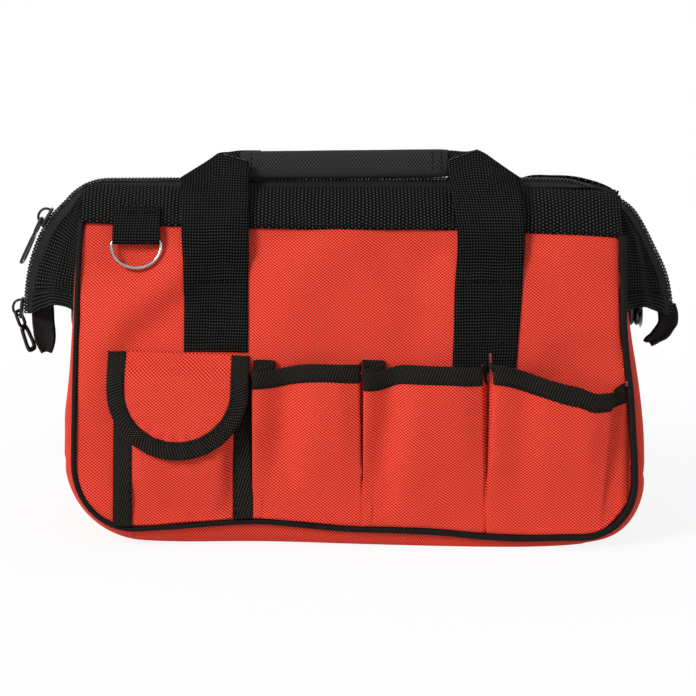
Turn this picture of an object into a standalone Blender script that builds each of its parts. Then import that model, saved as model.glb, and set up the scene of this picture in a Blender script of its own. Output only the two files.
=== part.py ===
"""Soft tool bag with a gate mouth: fabric body, steel frame rods, zip, handles and pockets.

Metres, +Z up. The origin is the middle of the base, on the surface that the bag stands on.
The front looks towards -Y. Left and right are as seen from the front, so left is -X.
"""

import math

import bmesh
import bpy
from mathutils import Vector
from mathutils.geometry import tessellate_polygon

FRONT, REAR = -1, 1
LEFT, RIGHT = -1, 1

# Body of the bag
SEAM_Z = 0.010             # seam between the bottom and the front and rear panels
BASE_HALF_DEPTH = 0.080    # centre plane to a panel, at the seam
TOP_HALF_DEPTH = 0.028     # the same, at the lower edge of the top band
BAND_LOW_Z = 0.178
BAND_TOP = (0.0128, 0.1953)  # distance from the centre plane and height of the band's upper edge
BAND_MIDDLE = (0.0215, 0.1880)
BODY_HALF_WIDTH = 0.161
TOP_NARROWING = 0.0055
NARROWING_LOW_Z = 0.040    # the panels narrow above this height
CORNER_RADIUS = 0.022
PANEL_BULGE = 0.004
SIDE_BULGE = 0.0086
SIDE_BULGE_TOP = 0.0016
SIDE_BULGE_FADE = (0.062, 0.112)  # heights between which the sides' bulge dies away
STRIP_INSET = 0.0028       # from a panel to the edge of the side and bottom strip
STRIP_ROLL = 0.0100        # width over which the strip swells out from that edge
GUSSET_TOP_Z = 0.152
GUSSET_SEAM_Z = 0.046
CLOTH = 0.0016
WEBBING = 0.0026
GAP = 0.0005
PIPING_RADIUS = 0.0020
PIPING_TOP_Z = 0.170
RETURN_INSET = 0.004       # side returns run this far inside the outline
RETURN_EDGE = 0.0045       # from a panel to the near edge of its returns
RETURN_WIDTH = 0.012       # width of a return at the seam
RETURN_FLARE = 0.45        # and how fast it widens with height
RETURN_TOP_Z = 0.175
BAG_MIDDLE = Vector((0, 0, 0.10))

# Base board
BOARD_HALF = (0.138, 0.064)
BOARD_CORNER = 0.012
BOARD_THICKNESS = 0.0025

# Frame rods and side pivots
PIVOT_Z = 0.122
ROD_RADIUS = 0.0015
BAR = (0.0082, 0.1948)     # distance from the centre plane and height of a rod's top bar
EYE_RADIUS = 0.0051         # wide enough for the rivet to shift in it while the mouth opens
ARM_X = {FRONT: 0.1640, REAR: 0.1676}
BAR_END_X = 0.146
RIVET_RADIUS = 0.0014
RIVET_HEAD_RADIUS = 0.0082
RIVET_SPAN = (0.1613, 0.1706)
RIVET_HEAD = 0.0010

# Zip: a side arc, a corner arc and a straight ridge. The left side hangs out further than the right
SIDE_ARC_RADIUS = {LEFT: 0.132, RIGHT: 0.122}
SIDE_ARC_CENTRE = (0.0695, 0.1108)  # on the right, and mirrored on the left
SIDE_ARC_LOW = 5.5         # degrees above the horizontal
SIDE_ARC_HIGH = 38.0
CORNER_ARC_HIGH = 88.0
RIDGE_Z = 0.2037
RIDGE_CROWN = 0.0008
COIL_WIDTH = 0.0026
COIL_HEIGHT = 0.0020
COIL_GAP = 0.0004          # from the centre plane to a coil half, along the ridge
COIL_GAP_LOW = 0.0020      # the same at the zip's ends, which shift a little as the mouth opens
TAPE_DROP = 0.0007         # from the coil's outer face down to the tape's
TAPE_WIDTH = 0.0072
TAPE_THICKNESS = 0.0009
WING_EDGE_X = 0.1634       # inner edge of a wing, clear of the gusset behind it
WING_TOP_X = 0.1562
WING_LOW = (0.0445, 0.1245)

# Sliders and pulls, on the left side of the zip
UPPER_SLIDER_ANGLE = 31.4
LOWER_SLIDER_ANGLE = 6.6
SLIDER_LENGTH = 0.013
SLIDER_WIDTH = 0.0084
SLIDER_THICKNESS = 0.0022
SLIDER_LIFT = 0.0004
CROWN_LENGTH = 0.0112
CROWN_HEIGHT = 0.0066
CROWN_WIDTH = 0.0018
CROWN_WALL = 0.0015
CROWN_SILL = 0.0011
CROWN_SINK = 0.0007        # the crown's foot goes this far into the slider
PULL_PIVOT = (-0.0024, 0.0043)  # along the zip and away from it, from the slider's middle
PULL_LENGTH = 0.026
PULL_THICKNESS = 0.0016
PULL_EYE_END = 0.0088
PULL_HALF_WIDTH = 0.0042
PULL_NECK_HALF_WIDTH = 0.0031
PULL_EYE_HALF_WIDTH = 0.0016
PULL_TIP = 0.0040

# Straps and handles
STRAP_MIDDLE_X = 0.080
STRAP_WIDTH = 0.038
STRAP_TOP_Z = 0.1485
HANDLE_START_Z = 0.1493
FLAP_SIDE_STRAP_LOW_Z = 0.1205
STRAP_LOW_Z = 0.1125
GRIP_HALF_LENGTH = 0.059
GRIP_HALF = (0.0112, 0.0064)
GRIP_WALL = 0.0026
HANDLE_PEAK_X = 0.082

# D-rings
DRING_X = 0.1285
DRING_HALF_WIDTH = 0.0147
DRING_DROP = 0.0175
DRING_WIRE = 0.0013
DRING_Z = 0.1725
DRING_PROUD = 0.0042
TAB_HALF_WIDTH = 0.0120

# Flap pocket, left of the front panel
FLAP_POCKET_X = (-0.1405, -0.0625)
FLAP_POCKET_Z = (0.0145, 0.0965)
FLAP_POCKET_DEPTH = 0.0115
FLAP_X = (-0.1425, -0.0605)
FLAP_HINGE_Z = 0.1110
FLAP_LOW_Z = 0.0540
FLAP_CORNER = 0.034
FLAP_TOP_ROWS = (0.0, 0.0040, 0.0080, 0.0130, 0.0180)  # below the hinge
FLAP_LIFT = 0.0066           # from the pocket's depth to the flap's outer face
FLAP_SEAM_PROUD = 0.0026     # from the panel to the flap's outer face, at its hinge
BINDING = 0.0010
BINDING_WIDTH = 0.0100

# Open pockets: x limits of each pocket, and the height of their upper edge along x
FRONT_POCKETS = ((-0.0600, 0.0030), (0.0042, 0.0750), (0.0762, 0.1545))
REAR_POCKETS = ((-0.1545, -0.0525), (-0.0513, 0.0513), (0.0525, 0.1545))
FRONT_POCKET_EDGE = ((-0.0600, 0.1040), (0.0240, 0.1045), (0.0800, 0.1040), (0.0960, 0.1005), (0.1200, 0.0940),
                     (0.1400, 0.0890), (0.1545, 0.0930))
REAR_POCKET_EDGE = ((-0.1545, 0.1040), (0.1545, 0.1040))
POCKET_LOW_Z = 0.0145
POCKET_DEPTH = 0.0125

# Zip end tabs, below the zip's ends
END_TAB = {LEFT: (0.1800, 0.1940, 0.0995, 0.1175), RIGHT: (0.1725, 0.1865, 0.1010, 0.1175)}  # x and z limits
END_TAB_HALF_DEPTH = 0.0026
END_TAB_CORNER = 0.005

COLOURS = {
    "red_fabric": ((0.72, 0.045, 0.030), 0.75, 0.0),
    "black_webbing": ((0.018, 0.018, 0.019), 0.80, 0.0),
    "black_tape": ((0.024, 0.024, 0.026), 0.70, 0.0),
    "black_coil": ((0.030, 0.030, 0.032), 0.45, 0.0),
    "chrome": ((0.62, 0.62, 0.63), 0.20, 1.0),
    "steel": ((0.42, 0.42, 0.43), 0.35, 1.0),
    "black_metal": ((0.030, 0.030, 0.032), 0.40, 0.6),
    "board": ((0.05, 0.05, 0.05), 0.60, 0.0),
}


def clear_scene():
    for item in list(bpy.data.objects):
        bpy.data.objects.remove(item, do_unlink=True)


def make_material(name):
    colour, roughness, metallic = COLOURS[name]
    material = bpy.data.materials.new(name)
    material.use_nodes = True
    shader = material.node_tree.nodes["Principled BSDF"]
    shader.inputs["Base Color"].default_value = (*colour, 1)
    shader.inputs["Roughness"].default_value = roughness
    shader.inputs["Metallic"].default_value = metallic
    material.diffuse_color = (*colour, 1)
    return material


def make_body(name, origin, parent=None):
    """An empty on a joint's axis, which carries the pieces of one moving body."""
    empty = bpy.data.objects.new(name, None)
    bpy.context.scene.collection.objects.link(empty)
    empty["world_origin"] = tuple(origin)
    location = Vector(origin)
    if parent is not None:
        empty.parent = parent
        location -= Vector(parent["world_origin"])
    empty.location = location
    return empty


def add_piece(name, points, faces, material, body):
    """One closed solid from points in the bag's frame, with its origin on its body's axis."""
    origin = Vector(body["world_origin"])
    mesh = bpy.data.meshes.new(name)
    build = bmesh.new()
    corners = [build.verts.new(Vector(p) - origin) for p in points]
    for face in faces:
        build.faces.new([corners[k] for k in face])
    loose = [v for v in build.verts if not v.link_faces]
    bmesh.ops.delete(build, geom=loose, context="VERTS")
    bmesh.ops.recalc_face_normals(build, faces=build.faces)
    build.to_mesh(mesh)
    build.free()
    mesh.shade_smooth()
    mesh.set_sharp_from_angle(angle=math.radians(40))
    mesh.materials.append(make_material(material))
    piece = bpy.data.objects.new(name, mesh)
    bpy.context.scene.collection.objects.link(piece)
    piece.parent = body
    return piece


def spread(low, high, count):
    """count + 1 evenly spaced values from low to high."""
    return [low + (high - low) * k / count for k in range(count + 1)]


def smooth_step(t):
    t = min(max(t, 0.0), 1.0)
    return t * t * (3 - 2 * t)


def interpolate(table, x):
    """Height at x on a line through the (x, height) pairs, rounded between them."""
    for (x0, h0), (x1, h1) in zip(table, table[1:]):
        if x <= x1:
            return h0 + (h1 - h0) * smooth_step((x - x0) / (x1 - x0))
    return table[-1][1]


def smooth_path(points, per_span):
    """A Catmull-Rom curve through the points, with per_span steps between each two."""
    ends = [points[0] * 2 - points[1], *points, points[-1] * 2 - points[-2]]
    path = []
    for k in range(1, len(ends) - 2):
        a, b, c, d = ends[k - 1:k + 3]
        for step in range(per_span):
            t = step / per_span
            path.append((b * 2 + (c - a) * t + (a * 2 - b * 5 + c * 4 - d) * t ** 2
                         + (b * 3 - a - c * 3 + d) * t ** 3) / 2)
    path.append(points[-1].copy())
    return path


def grid_normals(grid):
    """Unit normals at the points of a grid, all on the side away from the middle of the bag."""
    rows, columns = len(grid), len(grid[0])
    normals = []
    total = 0.0
    for i in range(rows):
        line = []
        for j in range(columns):
            along = grid[min(i + 1, rows - 1)][j] - grid[max(i - 1, 0)][j]
            across = grid[i][min(j + 1, columns - 1)] - grid[i][max(j - 1, 0)]
            normal = along.cross(across).normalized()
            total += normal.dot(grid[i][j] - BAG_MIDDLE)
            line.append(normal)
        normals.append(line)
    sign = 1 if total > 0 else -1
    return [[n * sign for n in line] for line in normals]


def lifted(grid, distance):
    """The same grid, moved outwards along its normals."""
    normals = grid_normals(grid)
    return [[p + n * distance for p, n in zip(line, across)] for line, across in zip(grid, normals)]


def skin(name, outer, inner, material, body, keep=None):
    """A closed sheet between two grids of points. keep(i, j) says which cells it has."""
    rows, columns = len(outer), len(outer[0])
    points = [p for line in outer for p in line] + [p for line in inner for p in line]
    second = rows * columns
    cells = {(i, j) for i in range(rows - 1) for j in range(columns - 1) if keep is None or keep(i, j)}
    faces = []
    for i, j in sorted(cells):
        a, b = i * columns + j, i * columns + j + 1
        c, d = b + columns, a + columns
        faces.append((a, b, c, d))
        faces.append((d + second, c + second, b + second, a + second))
        for neighbour, (p, q) in (((i - 1, j), (a, b)), ((i, j + 1), (b, c)),
                                  ((i + 1, j), (c, d)), ((i, j - 1), (d, a))):
            if neighbour not in cells:
                faces.append((q, p, p + second, q + second))
    return add_piece(name, points, faces, material, body)


def sheet(name, grid, thickness, material, body, keep=None):
    """A sheet whose outer face is the grid."""
    return skin(name, grid, lifted(grid, -thickness), material, body, keep)


def ring_frames(path, closed):
    """Two directions square to a path at each of its points, carried along without twist."""
    count = len(path)
    frames = []
    across = None
    for k in range(count):
        ahead = path[(k + 1) % count] if closed or k + 1 < count else path[k]
        behind = path[k - 1] if closed or k > 0 else path[k]
        direction = (ahead - behind).normalized()
        if across is None:
            guess = Vector((0, 0, 1)) if abs(direction.z) < 0.9 else Vector((0, 1, 0))
            across = direction.cross(guess).normalized()
        across = (across - direction * across.dot(direction)).normalized()
        frames.append((across, direction.cross(across)))
    return frames


def tube(name, path, radius, material, body, closed=False, sides=8):
    """A round rod along a path, with flat ends, or a ring where it is closed."""
    points = []
    for place, (u, v) in zip(path, ring_frames(path, closed)):
        for k in range(sides):
            angle = 2 * math.pi * (k + 0.5) / sides
            points.append(place + (u * math.cos(angle) + v * math.sin(angle)) * radius)
    faces = []
    count = len(path)
    for i in range(count if closed else count - 1):
        for j in range(sides):
            k = (j + 1) % sides
            after = (i + 1) % count
            faces.append((i * sides + j, i * sides + k, after * sides + k, after * sides + j))
    if not closed:
        faces.append(tuple(range(sides)))
        faces.append(tuple((count - 1) * sides + k for k in range(sides)))
    return add_piece(name, points, faces, material, body)


def sleeve(name, outer_rings, inner_rings, material, body):
    """A wall between two rows of rings, open at both ends."""
    sides = len(outer_rings[0])
    rows = outer_rings + inner_rings[::-1]
    points = [p for ring in rows for p in ring]
    faces = []
    for i in range(len(rows)):
        after = (i + 1) % len(rows)
        for j in range(sides):
            k = (j + 1) % sides
            faces.append((i * sides + j, i * sides + k, after * sides + k, after * sides + j))
    return add_piece(name, points, faces, material, body)


def plate(name, loops, depth, place, material, body):
    """A flat piece: the first loop is its outline and the rest are holes. place(u, v, w) sets a point."""
    flat = [[Vector((u, v, 0)) for u, v in loop] for loop in loops]
    corners = [p for loop in flat for p in loop]
    second = len(corners)
    points = [place(p.x, p.y, 0.0) for p in corners] + [place(p.x, p.y, depth) for p in corners]
    faces = []
    for a, b, c in tessellate_polygon(flat):
        faces.append((a, b, c))
        faces.append((c + second, b + second, a + second))
    start = 0
    for loop in flat:
        for k in range(len(loop)):
            a, b = start + k, start + (k + 1) % len(loop)
            faces.append((a, b, b + second, a + second))
        start += len(loop)
    return add_piece(name, points, faces, material, body)


def rounded_rectangle(low_u, high_u, low_v, high_v, radius, steps=4):
    """Outline of a rectangle with round corners."""
    loop = []
    for centre_u, centre_v, first in ((high_u - radius, low_v + radius, -90), (high_u - radius, high_v - radius, 0),
                                      (low_u + radius, high_v - radius, 90), (low_u + radius, low_v + radius, 180)):
        for angle in spread(first, first + 90, steps):
            turn = math.radians(angle)
            loop.append((centre_u + radius * math.cos(turn), centre_v + radius * math.sin(turn)))
    return loop


def half_depth(z):
    """Distance from the centre plane to the flat run of the front or rear panel."""
    share = (z - SEAM_Z) / (BAND_LOW_Z - SEAM_Z)
    return BASE_HALF_DEPTH + (TOP_HALF_DEPTH - BASE_HALF_DEPTH) * share


def half_width(z):
    """Half the width between the pipings, without the round lower corners."""
    share = max((z - NARROWING_LOW_Z) / (BAND_LOW_Z - NARROWING_LOW_Z), 0.0)
    return BODY_HALF_WIDTH - TOP_NARROWING * share ** 2


def panel_half_width(z, trim):
    """Half the width of an outline that runs inside the pipings by trim, round at the lower corners."""
    rise = z - SEAM_Z
    if rise >= CORNER_RADIUS:
        return half_width(z) - trim
    squared = (CORNER_RADIUS - trim) ** 2 - (CORNER_RADIUS - rise) ** 2
    return BODY_HALF_WIDTH - CORNER_RADIUS + math.sqrt(max(squared, 0.0))


def face_distance(x, z):
    """Distance from the centre plane to the outer face of a panel, with its slight belly."""
    across = max(1 - (x / half_width(z)) ** 2, 0.0)
    up = math.sin(math.pi * min(max((z - SEAM_Z) / (BAND_LOW_Z - SEAM_Z), 0.0), 1.0))
    return half_depth(z) + PANEL_BULGE * across * up


def on_face(side, x, z, proud=0.0):
    return Vector((x, side * (face_distance(x, z) + proud), z))


def side_bulge(z):
    """How far the side stands out past the piping line."""
    low, high = SIDE_BULGE_FADE
    return SIDE_BULGE_TOP + (SIDE_BULGE - SIDE_BULGE_TOP) * (1 - smooth_step((z - low) / (high - low)))


def outline_stations(first_z, hand, side_steps, corner_steps):
    """Places along the body's outline from a side down to the end of the corner: (x, z, normal x, normal z, offset)."""
    stations = []
    corner_z = SEAM_Z + CORNER_RADIUS
    for z in spread(first_z, corner_z, side_steps):
        stations.append((hand * half_width(z), z, hand, 0.0, side_bulge(z)))
    for angle in spread(0, -90, corner_steps)[1:]:
        turn = math.radians(angle)
        share = -angle / 90
        offset = side_bulge(corner_z) * (1 - share) + SEAM_Z * share
        stations.append((hand * (BODY_HALF_WIDTH - CORNER_RADIUS + CORNER_RADIUS * math.cos(turn)),
                         corner_z + CORNER_RADIUS * math.sin(turn),
                         hand * math.cos(turn), math.sin(turn), offset))
    return stations


def strip_line(station):
    """Points across the side or bottom strip at one place of the outline, front edge to rear edge."""
    x, z, normal_x, normal_z, offset = station
    edge = half_depth(z) - STRIP_INSET
    inner = [STRIP_ROLL * share for share in (0.0, 0.12, 0.32, 0.62, 1.0)]
    across = [e - edge for e in inner] + [-edge / 3, edge / 3] + [edge - e for e in inner[::-1]]
    line = []
    for y in across:
        share = min((edge - abs(y)) / STRIP_ROLL, 1.0)
        out = 0.0006 + (offset - 0.0006) * math.sqrt(1 - (1 - share) ** 2)
        line.append(Vector((x + normal_x * out, y, z + normal_z * out)))
    return line


def make_bottom_and_gussets(body):
    left = outline_stations(GUSSET_SEAM_Z, LEFT, 1, 5)
    right = outline_stations(GUSSET_SEAM_Z, RIGHT, 1, 5)
    reach = BODY_HALF_WIDTH - CORNER_RADIUS
    flat = [(x, SEAM_Z, 0.0, -1.0, SEAM_Z) for x in spread(-reach, reach, 4)[1:-1]]
    grid = [strip_line(s) for s in left + flat + right[::-1]]
    sheet("bottom_panel", grid, CLOTH, "red_fabric", body)
    for hand, name in ((LEFT, "left_gusset"), (RIGHT, "right_gusset")):
        heights = spread(GUSSET_TOP_Z, GUSSET_SEAM_Z + GAP, 8)
        grid = [strip_line((hand * half_width(z), z, hand, 0.0, side_bulge(z))) for z in heights]
        sheet(name, grid, CLOTH, "red_fabric", body)


def make_base_board(body):
    outline = rounded_rectangle(-BOARD_HALF[0], BOARD_HALF[0], -BOARD_HALF[1], BOARD_HALF[1], BOARD_CORNER)
    low = CLOTH + GAP
    plate("base_board", [outline], BOARD_THICKNESS, lambda u, v, w: Vector((u, v, low + w)), "board", body)


def make_panel(side, name, body):
    """The large outer cloth of one face, inside its piping."""
    heights = [SEAM_Z + h for h in (0.0027, 0.0035, 0.0055, 0.0090, 0.0150)]
    heights += spread(SEAM_Z + CORNER_RADIUS, BAND_LOW_Z - 0.0014, 9)
    grid = []
    for z in heights:
        reach = panel_half_width(z, PIPING_RADIUS + GAP)
        grid.append([on_face(side, reach * u, z) for u in spread(-1, 1, 12)])
    sheet(name, grid, CLOTH, "red_fabric", body)


def make_band(side, name, body):
    """Webbing along the top of a panel, leaning in towards the zip."""
    low = (TOP_HALF_DEPTH + 0.0008, BAND_LOW_Z)
    reach = WING_TOP_X - 0.0028
    profile = [low, BAND_MIDDLE, BAND_TOP]
    grid = [[Vector((x, side * d, z)) for x in spread(-reach, reach, 10)] for d, z in profile]
    sheet(name, grid, CLOTH, "black_webbing", body)


def make_piping(side, name, body):
    left = [(s[0], s[1]) for s in outline_stations(PIPING_TOP_Z, LEFT, 9, 6)]
    path = left + [(-x, z) for x, z in left[::-1]]
    tube(name, [Vector((x, side * half_depth(z), z)) for x, z in path], PIPING_RADIUS, "black_tape", body)


def make_return(side, hand, name, body):
    """Cloth that runs in from a panel's edge, inside the gusset, and keeps the side shut as the mouth opens."""
    grid = []
    for x, z, normal_x, normal_z, _ in outline_stations(RETURN_TOP_Z, hand, 9, 4):
        outer = half_depth(z) - RETURN_EDGE
        width = RETURN_WIDTH + RETURN_FLARE * (z - SEAM_Z)
        inner = max(outer - width, 0.0006)
        line = []
        for d in spread(outer, inner, 3):
            line.append(Vector((x - normal_x * RETURN_INSET, side * d, z - normal_z * RETURN_INSET)))
        grid.append(line)
    sheet(name, grid, CLOTH, "red_fabric", body)


def make_rod(side, name, body):
    """One bent steel rod: an eye at each side pivot, two arms and the bar under the zip tape."""
    arm, end = ARM_X[side], BAR_END_X
    half = [(end, BAR[0], BAR[1]), (end + 0.005, BAR[0], BAR[1] - 0.0016), (end + 0.0082, BAR[0], BAR[1] - 0.0056),
            (end + 0.0102, BAR[0] - 0.0002, BAR[1] - 0.0106), (arm - 0.0042, BAR[0] - 0.0008, 0.1780),
            (arm - 0.0012, BAR[0] - 0.0018, 0.1670), (arm, BAR[0] - 0.0030, 0.1560), (arm, 0.0052, 0.1300)]
    for angle in spread(180, 450, 10):
        turn = math.radians(angle)
        half.append((arm, -EYE_RADIUS * math.cos(turn), PIVOT_Z + EYE_RADIUS * math.sin(turn)))
    right = [Vector((x, side * d, z)) for x, d, z in half]
    left = [Vector((-x, side * d, z)) for x, d, z in half]
    tube(name, left[::-1] + right, ROD_RADIUS, "steel", body)


def make_rivet(hand, name, body):
    """Side pivot: a shaft through both rods' eyes, with a head at each end."""
    low, high = RIVET_SPAN
    profile = [(low, RIVET_HEAD_RADIUS), (low + RIVET_HEAD, RIVET_HEAD_RADIUS), (low + RIVET_HEAD, RIVET_RADIUS),
               (high - RIVET_HEAD, RIVET_RADIUS), (high - RIVET_HEAD, RIVET_HEAD_RADIUS),
               (high, RIVET_HEAD_RADIUS * 0.8)]
    sides = 12
    points = []
    for x, radius in profile:
        for k in range(sides):
            angle = 2 * math.pi * k / sides
            points.append(Vector((hand * x, radius * math.cos(angle), PIVOT_Z + radius * math.sin(angle))))
    faces = [tuple(range(sides)), tuple((len(profile) - 1) * sides + k for k in range(sides))]
    for i in range(len(profile) - 1):
        for j in range(sides):
            k = (j + 1) % sides
            faces.append((i * sides + j, i * sides + k, (i + 1) * sides + k, (i + 1) * sides + j))
    add_piece(name, points, faces, "steel", body)


def make_end_tab(hand, name, body):
    """Folded tape that ends the zip and hangs below the side pivot."""
    low_x, high_x, low_z, high_z = END_TAB[hand]
    outline = rounded_rectangle(low_x, high_x, low_z, high_z, END_TAB_CORNER)

    def place(u, v, w):
        return Vector((hand * u, w - END_TAB_HALF_DEPTH, v))

    plate(name, [outline], 2 * END_TAB_HALF_DEPTH, place, "black_tape", body)


def zip_stations(hand):
    """Half of the zip's line, from its low end to the middle of the ridge: (|x|, z, normal |x|, normal z)."""
    stations = []
    side_radius = SIDE_ARC_RADIUS[hand]
    for angle in spread(SIDE_ARC_LOW, SIDE_ARC_HIGH, 9):
        turn = math.radians(angle)
        stations.append((SIDE_ARC_CENTRE[0] + side_radius * math.cos(turn),
                         SIDE_ARC_CENTRE[1] + side_radius * math.sin(turn), math.cos(turn), math.sin(turn)))
    x, z, normal_x, normal_z = stations[-1]
    # The corner arc goes on from there and meets the ridge at its height
    corner_radius = (RIDGE_Z - z) / (math.sin(math.radians(CORNER_ARC_HIGH)) - normal_z)
    centre = (x - corner_radius * normal_x, z - corner_radius * normal_z)
    for angle in spread(SIDE_ARC_HIGH, CORNER_ARC_HIGH, 7)[1:]:
        turn = math.radians(angle)
        stations.append((centre[0] + corner_radius * math.cos(turn),
                         centre[1] + corner_radius * math.sin(turn), math.cos(turn), math.sin(turn)))
    x, z, _, _ = stations[-1]
    for share in spread(0, 1, 4)[1:]:
        stations.append((x * (1 - share), z + RIDGE_CROWN * share, 0.0, 1.0))
    return stations


def wing_stations(hand):
    """The zip stations beside a wing, each with the matching point of the wing's inner edge, front side."""
    beside = [s for s in zip_stations(hand) if s[0] > WING_TOP_X]
    top = len(beside) - 1
    paired = []
    for k, station in enumerate(beside):
        share = k / top
        if share < 0.7:
            part = share / 0.7
            x = WING_EDGE_X + (WING_TOP_X - WING_EDGE_X) * max((part - 0.8) / 0.2, 0.0)
            d = WING_LOW[0] + (TOP_HALF_DEPTH + 0.0005 - WING_LOW[0]) * part
            z = WING_LOW[1] + (BAND_LOW_Z + 0.0005 - WING_LOW[1]) * part
        else:
            part = (share - 0.7) / 0.3
            x = WING_TOP_X
            d = TOP_HALF_DEPTH + 0.0005 + (BAND_TOP[0] - TOP_HALF_DEPTH - 0.0005) * part
            z = BAND_LOW_Z + 0.0005 + (BAND_TOP[1] - BAND_LOW_Z - 0.0005) * part
        paired.append((station, Vector((x, d, z))))
    return paired


def coil_gap(z):
    """Distance from the centre plane to a coil half at height z."""
    return COIL_GAP_LOW + (COIL_GAP - COIL_GAP_LOW) * smooth_step((z - PIVOT_Z) / 0.055)


def tape_start(station):
    """Where the tape meets the coil, front side taken as +Y."""
    x, z, normal_x, normal_z = station
    return Vector((x - normal_x * TAPE_DROP, coil_gap(z) + COIL_WIDTH + 2 * GAP, z - normal_z * TAPE_DROP))


def make_coil(side, name, body):
    """One half of the zip's coil, a bar along the zip's line."""
    whole = [(-x, z, -nx, nz) for x, z, nx, nz in zip_stations(LEFT)] + zip_stations(RIGHT)[-2::-1]
    grid_outer, grid_inner = [], []
    for x, z, normal_x, normal_z in whole:
        near, far = side * coil_gap(z), side * (coil_gap(z) + COIL_WIDTH)
        low_x, low_z = x - normal_x * COIL_HEIGHT, z - normal_z * COIL_HEIGHT
        grid_outer.append([Vector((x, near, z)), Vector((x, far, z))])
        grid_inner.append([Vector((low_x, near, low_z)), Vector((low_x, far, low_z))])
    skin(name, grid_outer, grid_inner, "black_coil", body)


def make_tape(side, name, body):
    """One half of the zip's tape, from the coil down to the wings and the band."""
    halves = {}
    for hand in (LEFT, RIGHT):
        wing_edge = {station: inner for station, inner in wing_stations(hand)}
        half = []
        for station in zip_stations(hand):
            start = tape_start(station)
            inner = wing_edge.get(station, Vector((station[0], BAND_TOP[0], BAND_TOP[1])))
            direction = (inner - start).normalized()
            line = [start + direction * share * TAPE_WIDTH for share in (0.0, 0.5, 1.0)]
            half.append([Vector((hand * p.x, side * p.y, p.z)) for p in line])
        halves[hand] = half
    sheet(name, halves[LEFT] + halves[RIGHT][-2::-1], TAPE_THICKNESS, "black_tape", body)


def make_wing(side, hand, name, body):
    """Webbing at a side of the mouth, between the zip's sloping run and the panel's edge."""
    grid = []
    for station, inner in wing_stations(hand):
        start = tape_start(station)
        direction = (inner - start).normalized()
        first = start + direction * (TAPE_WIDTH + GAP)
        line = []
        for share in spread(0, 1, 5):
            p = first.lerp(inner, share)
            line.append(Vector((hand * p.x, side * p.y, p.z)))
        grid.append(line)
    sheet(name, grid, CLOTH, "black_webbing", body)


def slider_place(angle):
    """Frame of a slider on the left side arc: place(along, across, out) gives a point."""
    turn = math.radians(angle)
    middle = Vector((-SIDE_ARC_CENTRE[0] - SIDE_ARC_RADIUS[LEFT] * math.cos(turn), 0,
                     SIDE_ARC_CENTRE[1] + SIDE_ARC_RADIUS[LEFT] * math.sin(turn)))
    outward = Vector((-math.cos(turn), 0, math.sin(turn)))
    along = Vector((math.sin(turn), 0, math.cos(turn)))

    def place(t, y, n):
        return middle + along * t + Vector((0, y, 0)) + outward * n

    return place


def make_slider(angle, name, body):
    """Slider body with the crown that holds the pull."""
    place = slider_place(angle)
    half, wide = SLIDER_LENGTH / 2, SLIDER_WIDTH / 2
    outline = [(-half, -wide * 0.70), (-half * 0.6, -wide * 0.95), (half * 0.5, -wide), (half, -wide * 0.55),
               (half, wide * 0.55), (half * 0.5, wide), (-half * 0.6, wide * 0.95), (-half, wide * 0.70)]
    base = plate(name, [outline], SLIDER_THICKNESS, lambda u, v, w: place(u, v, SLIDER_LIFT + w), "black_metal", body)
    foot = SLIDER_LIFT + SLIDER_THICKNESS - CROWN_SINK
    outer, window = [], []
    for turn in [math.radians(a) for a in spread(0, 180, 10)]:
        outer.append((CROWN_LENGTH / 2 * math.cos(turn), foot + CROWN_HEIGHT * math.sin(turn)))
        window.append(((CROWN_LENGTH / 2 - CROWN_WALL) * math.cos(turn),
                       foot + CROWN_SILL + (CROWN_HEIGHT - CROWN_SILL - CROWN_WALL) * math.sin(turn)))
    crown = plate(name + "_crown", [outer, window], CROWN_WIDTH,
                  lambda u, v, w: place(u, w - CROWN_WIDTH / 2, v), "black_metal", body)
    crown.hide_render = True
    crown.display_type = "WIRE"
    joined = base.modifiers.new("crown", "BOOLEAN")
    joined.operation = "UNION"
    joined.solver = "EXACT"
    joined.object = crown


def pull_pivot(angle):
    """The middle of a pull's cross bar, inside its slider's crown."""
    return slider_place(angle)(PULL_PIVOT[0], 0, PULL_PIVOT[1])


def make_pull(angle, direction, name, body):
    """Flat pull whose eye goes round the crown. direction is the way that it points at rest."""
    pivot = pull_pivot(angle)
    across = Vector((0, 1, 0))
    normal = direction.cross(across)
    wide, narrow, eye_half = PULL_HALF_WIDTH, PULL_NECK_HALF_WIDTH, PULL_EYE_HALF_WIDTH
    tip = PULL_LENGTH - PULL_TIP
    outline = [(-0.0010, -narrow), (PULL_EYE_END + 0.001, -narrow), (0.0115, -wide), (tip, -wide)]
    for a in spread(-60, 60, 4):
        turn = math.radians(a)
        outline.append((tip + PULL_TIP * math.cos(turn), wide * math.sin(turn)))
    outline += [(u, -v) for u, v in outline[3::-1]]
    eye = [(0.0009, -eye_half), (PULL_EYE_END, -eye_half), (PULL_EYE_END, eye_half), (0.0009, eye_half)]
    slot = rounded_rectangle(PULL_LENGTH - 0.0080, PULL_LENGTH - 0.0035, -0.0017, 0.0017, 0.0012, 2)

    def place(u, v, w):
        return pivot + direction * u + across * v + normal * (w - PULL_THICKNESS / 2)

    plate(name, [outline, eye, slot], PULL_THICKNESS, place, "black_metal", body)


def pocket_corner_z(x):
    """Lowest height of a pocket at x, inside the round corner of the panel."""
    radius = CORNER_RADIUS - PIPING_RADIUS - 3 * GAP
    over = abs(x) - (BODY_HALF_WIDTH - CORNER_RADIUS)
    if over <= 0:
        return 0.0
    return SEAM_Z + CORNER_RADIUS - math.sqrt(max(radius ** 2 - over ** 2, 0.0))


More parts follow.
